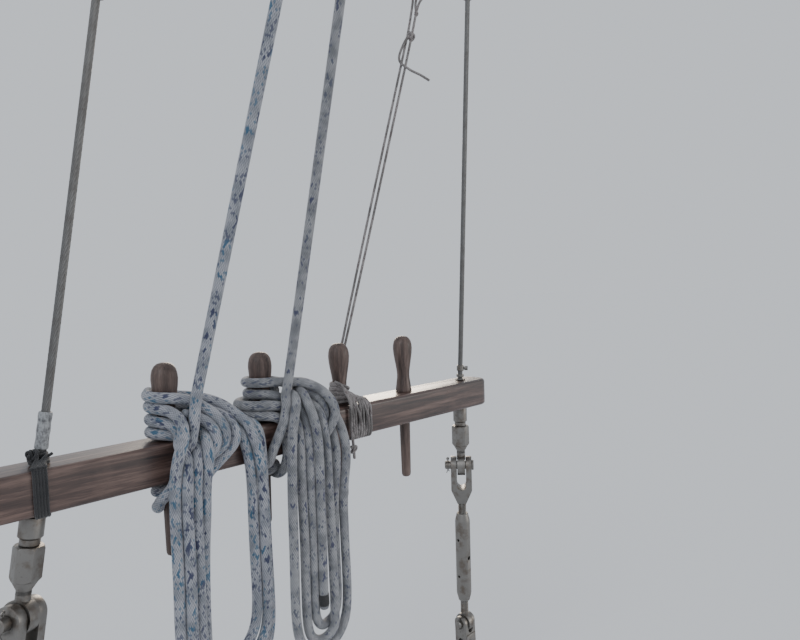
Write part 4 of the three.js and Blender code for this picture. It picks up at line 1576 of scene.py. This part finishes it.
@dataclass
class Settling:
    """Pushes the halyards' strands apart and off the rail and the pins, as real ropes lie.

    Each round evens the curves by the stiffness, draws them to their routes by the hold, and moves
    apart what touches. Every few rounds it looks again for what lies near.
    """

    halyards: Sequence[Halyard]
    step: float = 6.0
    fine_step: float = 3.0
    rounds: int = 90
    look_again: int = 10
    hold: float = 0.035
    stiffness: float = 0.22
    taut_above: float = 62.0
    near: float = 26.0
    neighbours: int = 4
    squeeze: float = 0.15
    largest_move: float = 3.0
    rail_edge: float = 6.0
    rail_gap: float = 0.2
    pin_gap: float = 0.1
    pin_bottom: float = -160.0
    pin_heights: Sequence[float] = (-154.0, -60.0, 0.0, 4.0, 27.0, 48.0, 78.0, 99.0)
    pin_radii: Sequence[float] = (8.3, 9.3, 14.1, 14.1, 11.3, 13.2, 17.1, 8.0)
    spans: list[slice] = field(init=False, default_factory=list)
    points: np.ndarray = field(init=False)
    rest: np.ndarray = field(init=False)
    owner: np.ndarray = field(init=False)
    radius: np.ndarray = field(init=False)
    loose: np.ndarray = field(init=False)

    def __post_init__(self) -> None:
        """Lays every strand out as points and notes what may move."""
        lines, owner, radius, loose = [], [], [], []
        for halyard in self.halyards:
            for strand in halyard.strands:
                line = smooth(strand.route, self.step)
                taut = (line[:, 2] > self.taut_above) & (strand.name == "standing_rope")
                self.spans.append(slice(len(owner), len(owner) + len(line)))
                owner += [len(lines)] * len(line)
                radius += [halyard.radius] * len(line)
                loose += list(np.where(taut, 0.0, 1.0))
                lines.append(line)
        self.points = np.vstack(lines)
        self.rest = self.points.copy()
        self.owner = np.array(owner)
        self.radius = np.array(radius)
        self.loose = np.array(loose)[:, None]

    def near_pairs(self) -> tuple[np.ndarray, np.ndarray]:
        """Pairs of points that aren't neighbours on one strand and lie near each other.

        Returns:
            The first point of each pair, and the second.
        """
        offsets = self.points[:, None, :] - self.points[None, :, :]
        close = (offsets**2).sum(axis=2) < self.near**2
        index = np.arange(len(self.points))
        apart = np.abs(index[:, None] - index[None, :]) > self.neighbours
        other = self.owner[:, None] != self.owner[None, :]
        return np.nonzero(np.triu(close & (apart | other), 1))

    def part(self, first: np.ndarray, second: np.ndarray) -> None:
        """Moves touching strands apart, each by its share.

        Args:
            first: one point of each near pair.
            second: the other one.
        """
        gap = self.points[first] - self.points[second]
        distance = np.linalg.norm(gap, axis=1) + TINY
        needed = self.radius[first] + self.radius[second] - self.squeeze
        push = np.clip(needed - distance, 0, self.largest_move)[:, None] * gap / distance[:, None]
        touching = (push != 0).any(axis=1)[:, None].astype(float)
        total = np.maximum(self.loose[first] + self.loose[second], TINY)
        moves = np.zeros_like(self.points)
        count = np.full((len(self.points), 1), TINY)
        for place, sign in ((first, 1), (second, -1)):
            np.add.at(moves, place, sign * push * self.loose[place] / total)
            np.add.at(count, place, touching)
        self.points += moves / np.maximum(count**0.5, 1.0)

    def clear_rail(self) -> None:
        """Keeps the ropes outside the rail's rounded section."""
        core = np.array((RAIL_DEPTH / 2 - self.rail_edge, RAIL_HEIGHT / 2 - self.rail_edge))
        section = self.points[:, 1:] + np.array((0.0, RAIL_HEIGHT / 2))
        beyond = np.abs(section) - core
        outside = np.maximum(beyond, 0)
        reach = np.linalg.norm(outside, axis=1) + TINY
        inside = np.minimum(beyond.max(axis=1), 0)
        depth = self.rail_edge + self.radius + self.rail_gap - (reach + inside)
        across = beyond[:, 0] > beyond[:, 1]
        flat = np.stack([across, ~across], axis=1).astype(float)
        corner = (reach > 1000 * TINY)[:, None]
        direction = np.where(corner, outside / reach[:, None], flat) * np.sign(section)
        push = np.maximum(depth, 0)[:, None] * direction * self.loose
        self.points[:, 1:] += np.clip(push, -self.largest_move, self.largest_move)

    def clear_pins(self) -> None:
        """Keeps the ropes off the belaying pins."""
        for x in PIN_PLACES[:3]:
            flat = self.points[:, :2] - np.array((x, 0.0))
            distance = np.linalg.norm(flat, axis=1) + TINY
            pin = np.interp(self.points[:, 2], self.pin_heights, self.pin_radii)
            depth = np.clip(pin + self.radius + self.pin_gap - distance, 0, self.largest_move)
            depth = np.where(self.points[:, 2] > self.pin_bottom, depth, 0)
            self.points[:, :2] += flat / distance[:, None] * depth[:, None] * self.loose

    def bend(self) -> None:
        """Evens out each strand's curve, and draws it towards its route."""
        for span in self.spans:
            own, free = self.points[span], self.loose[span]
            middle = (own[:-2] + own[2:]) / 2
            own[1:-1] += (middle - own[1:-1]) * self.stiffness * free[1:-1]
        self.points += (self.rest - self.points) * self.hold

    def run(self) -> None:
        """Settles the ropes and gives each strand its line."""
        for turn in range(self.rounds):
            if turn % self.look_again == 0:
                first, second = self.near_pairs()
            self.bend()
            self.part(first, second)
            self.clear_pins()
            self.clear_rail()
        self.part(first, second)
        strands = [strand for halyard in self.halyards for strand in halyard.strands]
        for strand, span in zip(strands, self.spans):
            strand.line = smooth(self.points[span], self.fine_step)
        offsets = np.linalg.norm(self.points[first] - self.points[second], axis=1)
        short = self.radius[first] + self.radius[second] - offsets
        log.info("ropes settled, %.1f mm into each other at most", max(0.0, short.max()))


def halyard_a() -> Halyard:
    """The flecked halyard on the first pin, whose coil hangs as an open U.

    Returns:
        The halyard, before it settles.
    """
    pin = 24.0
    axis = Axis((20.7, -39.0, 50.0), (8.16, 13.0))
    turns = ("halyard_a_turns",)
    coil = ("halyard_a_coil", "halyard_a_turns")
    first_down = [
        *turn_round(100, 62, 59, 53, pin),
        (40, 6, 48), (62, -16, 41), (82, -35, 22), (97, -46, -6), (108, -48, -38), (111, -48, -66),
    ]
    second_up = [
        (-9, -62, -90), (-8, -63, -50), (-4, -57, -22), (1, -48, 0), (2, -34, 16),
        *turn_round(250, 135, 25, 28.5, pin), *turn_round(120, 62, 27, 22, pin),
    ]
    second_down = [
        (44, 6, 16), (64, -12, 14), (80, -31, 12), (88, -39.5, -2), (93, -40, -16), (97, -40, -44),
        (98, -41, -66),
    ]
    third_up = [
        (3, -60, -90), (4, -60, -55), (9, -58, -26), (11, -48, -4), (4, -34, 6),
        *turn_round(245, 135, 10, 11.5, pin), *turn_round(120, 62, 10.5, 8.5, pin),
    ]
    third_down = [
        (52, 18, 8.5), (80, 2, 8.5), (98, -18, 8.5), (108, -33, 9), (114, -39.5, -3), (117, -39.5, -26),
        (118, -39, -66),
    ]
    fourth_up = [(17, -57, -90), (18, -58, -50), (22, -57, -24), (26, -50, -4), (31, -36, 10), (27, -16, 20)]
    loops = [
        *first_down, *hanging_loop((109, -50), (-10, -63), -318),
        *second_up, *second_down, *hanging_loop((96, -44), (3, -60), -300),
        *third_up, *third_down, *hanging_loop((119, -40), (17, -48), -335), *fourth_up,
    ]
    tail = [
        *turn_round(75, 120, 39, 44, pin), *turn_round(135, 250, 46, 42, pin),
        (-1, -34, 34), (-3, -50, 14), (-9, -57, -8), (-16, -58, -28), (-21, -58, -50), (-22, -58, -90),
        (-22, -58, -180), (-23, -56, -286),
    ]
    upper_eight = [
        *turn_round(100, 262, 59, 56, pin),
        (18, -24, 51), (37, -35, 39), (51, -47, 21), (58, -52, 4), (56, -51, -9), (46, -45, -20),
        (28, -39, -31), (6, -38.6, -47), (-8, -30, -60),
        *turn_round(225, -60, -64, -76, 16.9),
        (4, -27, -70), (-4, -38, -56), (10, -39, -40), (26, -46, -27), (39, -50, -17), (45, -52, -5),
        (42, -50, 10), (32, -42, 25), (20, -31, 32), (10, -29, 33),
    ]
    lower_eight = [
        *turn_round(75, 62, 39, 38, pin),
        (36, 4, 37), (54, -18, 33), (70, -38, 19), (77, -47, -1), (73, -47, -14), (59, -42, -24),
        (38, -38.6, -33), (24, -38.6, -48), (24, -24, -70),
        *turn_round(-20, 190, -84, -90, 16.9),
        (-24, -16, -74), (-13, -36, -58), (-5, -41, -42), (5, -46, -14), (12, -46, 10), (17, -42, 30),
        *[axis.at(height) for height in (0, 12, 40, 80, 200, 400, 527)],
    ]
    strands = [
        Strand("coil_loops", loops, coil, free=True),
        Strand("free_end", tail, coil, free=True, whipped=True),
        Strand("upper_turns", upper_eight, turns),
        Strand("standing_rope", lower_eight, (*turns, "halyard_a_standing_part")),
    ]
    return Halyard("halyard_a", 7.25, Slot.FLECK_ROPE, axis, top=577.0, strands=strands)


def halyard_b() -> Halyard:
    """The plainer halyard on the second pin, whose coil hangs as one close bunch.

    Returns:
        The halyard, before it settles.
    """
    pin = PIN_PLACES[1]
    axis = Axis((166.2, -39.0, 50.0), (4.88, 10.0))
    turns = ("halyard_b_turns",)
    coil = ("halyard_b_coil", "halyard_b_turns")
    loops = [
        *turn_round(-120, 60, 26, 26, 21.6, pin, 34), *turn_round(80, 255, 26, 26, 36, pin),
        (155, -36, 24), (170, -34, 22), (181, -40, 16), (186, -50, 2), (187, -54, -24), (188, -55, -50),
        (188, -55, -85),
        *hanging_loop((188, -55), (235, -50), -318),
        (238, -50, -112), (243, -50, -83), (244, -50, -52), (237, -48, -24), (231, -40, 2),
        (229, -24, 9), (220, -6, 9), (202, 3, 9), (186, -6, 9), (178, -22, 12),
        (175, -42, 14), (176, -50, -6), (176, -52, -30), (175, -52, -57), (175, -52, -100),
        *hanging_loop((174, -54), (220, -60), -334),
        (221, -57, -115), (221, -56, -80), (221, -55, -49), (218, -55, -14), (213, -52, 10),
        (208, -38, 24), (203, -20, 24), (194, -10, 24), (184, -14, 28), (177, -28, 37),
        (173, -44, 41), (168, -54, 30), (160, -58, 6), (156, -58, -29), (155, -58, -52), (153, -58, -95),
        *hanging_loop((152, -58), (249, -56), -348),
        (250, -55, -138), (254, -54, -108), (260, -55, -72), (258, -55, -41), (251, -54, -19), (240, -50, 2),
        (231, -36, 20), (221, -20, 32), (208, -10, 37), (195, -14, 40), (187, -28, 43),
        (183, -46, 43), (184, -57, 31), (191, -62, 10), (197, -63, -20), (200, -63, -53), (200, -62, -107),
        (200, -62, -180), (199, -62, -280),
    ]
    bight = [
        (222, -44, -30), (228, -52, -20), (236, -60, -8), (240, -60, 5), (236, -57, 19), (223, -52, 35),
        (203, -44, 48), (180, -31, 54), (158, -23, 56), *turn_round(250, 60, 57, 57, 21.9, pin),
        (168, 4, 55), (179, -12, 51), (190, -29, 46), (203, -39, 38), (219, -43, 26), (230, -45, 10),
        (232, -47, -3), (228, -45, -15), (222, -42, -28),
    ]
    slant = [*turn_round(-60, 270, 40.5, 40.5, 19.6, pin), (160, -24, 30), (176, -26, 22)]
    standing = [
        *turn_round(-120, 60, 12, 12, 21.6, pin, 34), *turn_round(80, 250, 12, 12, 36, pin),
        (152, -38, 8), (162, -39, -6), (161, -39, -30), (162, -38, -52), (164, -29, -68),
        *turn_round(-40, 575, -83, -60, 16.8, pin),
        (130, -33, -56), (134, -41, -38), (143, -44, -20), (151, -46, -2), (157, -46, 14), (162, -43, 30),
        *[axis.at(height) for height in (0, 12, 40, 80, 200, 400, 560)],
    ]
    strands = [
        Strand("coil_loops", loops, coil, free=True, whipped=True),
        Strand("doubled_bight", bight, turns),
        Strand("slanting_turn", slant, turns),
        Strand("standing_rope", standing, (*turns, "halyard_b_standing_part")),
    ]
    return Halyard("halyard_b", 7.0, Slot.PLAIN_ROPE, axis, top=610.0, strands=strands)


@dataclass
class ThinLine:
    """The thin line on the third pin: turns round pin and rail, and a doubled part that goes aloft.

    Each of its places is one turn round the rail: where it crosses the top's front edge, where it
    leaves the front face, and how far it stands off that face.
    """

    pin: float = PIN_PLACES[2]
    radius: float = 2.4
    taut_radius: float = 2.2
    axis: Axis = field(default_factory=lambda: Axis((299.5, 23.0, 3.0), (15.1, 4.5)))
    top: float = 735.0
    facing: float = -46.0
    places: Sequence[Point] = (
        (295.5, 296.5, 0.0), (301.0, 301.5, 0.0), (306.0, 312.0, 3.6), (313.0, 306.5, 0.0),
        (318.0, 318.0, 0.0), (323.0, 328.0, 3.6), (329.0, 323.0, 0.0), (334.5, 334.0, 0.0),
    )
    neck: float = 14.2
    knots: Sequence[Flat] = ((642.0, 6.2), (685.0, 2.6))
    knot_side: float = 3.4

    def wrapped(self) -> np.ndarray:
        """One line that goes round the pin's neck and the rail again and again.

        Returns:
            The line's points.
        """
        route = turn_round(-160, 20, 36, 20, self.neck, self.pin)
        route += turn_round(40, 60, 21, 25, self.neck, self.pin)
        face = RAIL_DEPTH / 2 + self.radius + 0.3
        below = -RAIL_HEIGHT - self.radius - 0.3
        for k, (x, foot, lift) in enumerate(self.places):
            height = 35.0 - 3.4 * k + 1.2 * (k % 2)
            start = 205 + 4.0 * k
            reach = self.neck + 0.5 * k
            route += turn_round(80, start, height - 1, height, reach, self.pin)
            at = math.radians(start + 14)
            near = (self.pin + (reach + 3) * math.cos(at), (reach + 3) * math.sin(at))
            route += [
                (near[0] + (x - near[0]) * 0.38, near[1] + (-face - near[1]) * 0.52, height * 0.66 + 4),
                (near[0] + (x - near[0]) * 0.76, near[1] + (-face - near[1]) * 0.88, height * 0.26 + 5),
                (x - 1.2, -face + 0.6, -3.5),
                (x + (foot - x) * 0.25, -face - lift * 0.6, -14),
                ((x + foot) / 2, -face - lift, -26),
                (foot, -face - lift * 0.3, -42),
                (foot, -face + 3.2, below + 1.8),
                (foot, -face + 9, below),
                (x + 0.3, face - 9, below),
                (x + 0.3, face - 3.2, below + 1.8),
                (x + 0.3, face, -42),
                (x - 0.6, face, -14),
                (x - 2.6, face - 0.8, -3.2),
                (x * 0.7 + 0.3 * (self.pin + 8), face * 0.74, 5 + height * 0.2),
                (x * 0.3 + 0.7 * (self.pin + 8), face * 0.52, height * 0.66),
            ]
        return smooth(route, 2.0)

    def foot_turns(self) -> np.ndarray:
        """The turns round the foot of the pin and the short link to the standing part."""
        link = [(314, 6, 18), (308, 15, 26), (303, 21, 33)]
        return smooth(turn_round(20, 740, 3.2, 12.4, 16.9, self.pin) + link, 2.0)

    def hanging_end(self) -> np.ndarray:
        """The knotted end that hangs below the rail.

        Returns:
            The line's points.
        """
        route = [
            (285, -6, 38), (286, -18, 34), (287, -30, 20), (289, -35.5, 6), (289, -36.2, -12),
            (289.5, -36.2, -40), (291, -36.2, -54), (293, -35.5, -66), (294, -34.5, -74), (295, -34, -83),
        ]
        return smooth(route, 2.0)

    def knot(self, centre: Point, size: float, turn: float) -> np.ndarray:
        """Draws an overhand knot tight.

        Args:
            centre: its middle.
            size: its size.
            turn: how far it is turned, in radians.

        Returns:
            The line's points.
        """
        route = []
        steps, rounds = 48, 1.5
        for i in range(steps + 1):
            t = 2 * math.pi * i / steps * rounds + turn
            radius = size * (0.62 + 0.3 * math.cos(2 * t))
            x, y, z = radius * math.cos(t), 0.8 * radius * math.sin(t), 0.9 * size * math.sin(1.5 * t)
            route.append((centre[0] + x, centre[1] + y, centre[2] + z))
        return smooth(route, 1.4)

    def faced(self, places: Sequence[Point]) -> list[Point]:
        """Points of the standing part, from how far right, near and high they are as the camera sees it."""
        spin = Matrix.Rotation(math.radians(self.facing), 3, "Z")
        return [tuple(spin @ Vector((right, -near, high))) for right, near, high in places]

    def legs(self) -> Solid:
        """Both legs of the standing part, the loop that joins them aloft and the small eye in it.

        Returns:
            The legs, on the standing part's axis.
        """
        top = self.top - self.axis.foot[2]
        rise = [(2.2, 0, 0), (2.4, 0, 60), (3.2, 0, 160), (3.8, 0, 280), (3.8, 0, 620)]
        left = [(-right, near, high) for right, near, high in rise]
        left += [(-4.0, 0, 655), (-6.9, 0, 704), (-8.5, 0, top - 16), (-5.5, 0, top - 4), (0, 0, top)]
        right = [(5.5, 0, top - 4), (8.0, 0, top - 16), (4.5, 0, 706), (3.0, 0, 685), (3.4, 0, 660)]
        eye = [(3.0, 0, 685), (-1.7, 0, 704), (-1.0, 1, 713), (3.0, 1, 719), (7.5, 0, 716)]
        routes = ([*left, *right, *reversed(rise)], eye)
        both, small = (tube(smooth(self.faced(route), 3.0), self.taut_radius, 10) for route in routes)
        return both.joined(small)

    def free_tail(self) -> np.ndarray:
        """The free end aloft, from the knot round the legs and away from them.

        Returns:
            The line's points, in the rail's frame.
        """
        route = [
            (-0.5, 1.5, 642), (-3.6, 4.6, 635), (-7.0, 4.2, 623), (-9.9, 2.8, 604), (-8.4, 3.6, 595.5),
            (-3.4, 4.8, 589), (4.0, 4.8, 585.5), (16, 3.4, 581), (32, 2, 577.5), (49, 1, 571.5),
        ]
        return np.array([tuple(self.axis.matrix() @ Vector(p)) for p in smooth(self.faced(route), 1.6)])

    def build(self, shop: Workshop) -> None:
        """Builds the line's turns, legs, knots and free end.

        Args:
            shop: where the pieces are made.
        """
        slot, wraps, legs = Slot.THIN_LINE, ["thin_line_wraps"], ["thin_line_standing_part"]
        lines = {
            "rail_turns": self.wrapped(),
            "foot_turns": self.foot_turns(),
            "hanging_end": self.hanging_end(),
        }
        for name, line in lines.items():
            shop.piece(f"thin_line_{name}", tube(line, self.radius, 10), slot, wraps)
        end_knot = tube(self.knot((293.4, -35.4, -68), 5.6, 0.3), 2.0, 8)
        shop.piece("thin_line_end_knot", end_knot, slot, wraps)
        shop.piece("thin_line_legs", self.legs(), slot, legs, axis=self.axis)
        for height, size in self.knots:
            centre = self.faced([(self.knot_side, 0.0, height)])[0]
            knot = tube(self.knot(centre, size, 1.1), self.taut_radius, 8)
            shop.piece(f"thin_line_knot_{height:.0f}", knot, slot, legs, axis=self.axis)
        line = self.free_tail()
        tail = shop.piece("thin_line_free_tail", tube(line, self.taut_radius, 10), slot, legs)
        declare_cord(tail, line, self.taut_radius, stiffness="medium", lay="loose")


@dataclass(frozen=True)
class SoftLight:
    """A wide distant light: its name, the side it shines from, its width, strength and colour."""

    name: str
    side: Point
    width: float
    strength: float
    colour: Colour

    def build(self) -> None:
        """Sets the light."""
        lamp = bpy.data.lights.new(self.name, "SUN")
        lamp.angle = math.radians(self.width)
        lamp.energy = self.strength
        lamp.color = self.colour
        made = linked(self.name, lamp)
        made.location = self.side
        made.rotation_euler = Vector(self.side).to_track_quat("Z", "Y").to_euler()


@dataclass
class Studio:
    """The floor, the soft lights and the camera at the photograph's place."""

    eye: Point = (-404.158, -809.442, 187.336)
    yaw: float = 46.41716
    pitch: float = 2.87602
    roll: float = -1.86051
    focal_pixels: float = 660.0
    width_pixels: float = 800.0
    floor_centre: Point = (0.4, 0.0, -0.1155)
    floor_radius: float = 60000.0
    floor_thickness: float = 40.0
    floor_finish: StudioFinish = StudioFinish((0.657, 0.682, 0.714))
    surroundings: Colour = (0.80, 0.84, 0.90)
    glow: float = 0.88
    lights: Sequence[SoftLight] = (
        SoftLight("key", (-2.6, -0.9, 1.8), width=30.0, strength=0.9, colour=(0.93, 0.96, 1.0)),
        SoftLight("back", (2.15, 2.62, 0.9), width=24.0, strength=2.2, colour=(1.0, 0.86, 0.70)),
        SoftLight("side", (1.95, -2.58, 0.5), width=20.0, strength=0.8, colour=(1.0, 0.95, 0.88)),
    )

    def floor(self) -> None:
        """Lays a wide round floor under the chainplates."""
        rim = [(self.floor_radius, -self.floor_thickness), (self.floor_radius, 0.0)]
        solid = lathe([(0.0, -self.floor_thickness), *rim, (0.0, 0.0)], 96)
        mesh = bpy.data.meshes.new("floor")
        mesh.from_pydata(solid.points * MILLIMETRE + np.array(self.floor_centre), [], solid.faces)
        mesh.materials.append(self.floor_finish.material())
        linked("floor", mesh)

    def world(self) -> None:
        """Sets the pale surroundings."""
        world = bpy.data.worlds.new("studio")
        bpy.context.scene.world = world
        world.use_nodes = True
        background = world.node_tree.nodes["Background"]
        background.inputs["Color"].default_value = (*self.surroundings, 1.0)
        background.inputs["Strength"].default_value = self.glow

    def camera(self) -> None:
        """Sets the camera as the photograph was taken."""
        yaw, pitch, roll = (math.radians(a) for a in (self.yaw, self.pitch, self.roll))
        ahead = (math.sin(yaw) * math.cos(pitch), math.cos(yaw) * math.cos(pitch), -math.sin(pitch))
        forward = Vector(ahead)
        level = forward.cross(Vector((0, 0, 1))).normalized()
        upright = level.cross(forward)
        right = math.cos(roll) * level + math.sin(roll) * upright
        up = math.cos(roll) * upright - math.sin(roll) * level
        data = bpy.data.cameras.new("camera")
        data.sensor_width = 36.0
        data.lens = data.sensor_width * self.focal_pixels / self.width_pixels
        data.clip_start = 0.01
        made = linked("camera", data)
        place = RAIL_ORIGIN + Vector(self.eye) * MILLIMETRE
        made.matrix_world = Matrix.Translation(place) @ Matrix((right, up, -forward)).transposed().to_4x4()
        bpy.context.scene.camera = made

    def build(self) -> None:
        """Builds the studio."""
        self.camera()
        self.floor()
        self.world()
        for light in self.lights:
            light.build()


def main() -> None:
    """Builds the part in order and reports each piece."""
    Studio().build()
    shop = Workshop()
    halyards = [halyard_a(), halyard_b()]
    Settling(halyards=halyards).run()
    for halyard in halyards:
        halyard.build(shop)
        log.info("%s is made fast", halyard.name)
    ThinLine().build(shop)
    log.info("thin line is made fast")
    Rail().build(shop, [LEFT_WIRE, RIGHT_WIRE])
    log.info("rail is bored")
    for number, x in enumerate(PIN_PLACES, 1):
        BelayingPin(number, x, Body.FREE_PIN if number == 4 else Body.ROOT).build(shop)
    log.info("pins are turned")
    shrouds = (
        ShroudFittings("left", LEFT_WIRE, LEFT_FITTINGS, -57.2, 565.0, Body.LEFT_TURNBUCKLE),
        ShroudFittings("right", RIGHT_WIRE, RIGHT_FITTINGS, -53.2, 760.0, Body.RIGHT_TURNBUCKLE),
    )
    for fittings in shrouds:
        fittings.build(shop)
        log.info("%s shroud is rigged", fittings.side)
    StopCollars(RIGHT_WIRE).build(shop)
    LeftSeizing(LEFT_WIRE).build(shop)
    log.info("collars, sleeve and seizing are on")


if __name__ == "__main__":
    logging.basicConfig(level=logging.INFO)
    main()
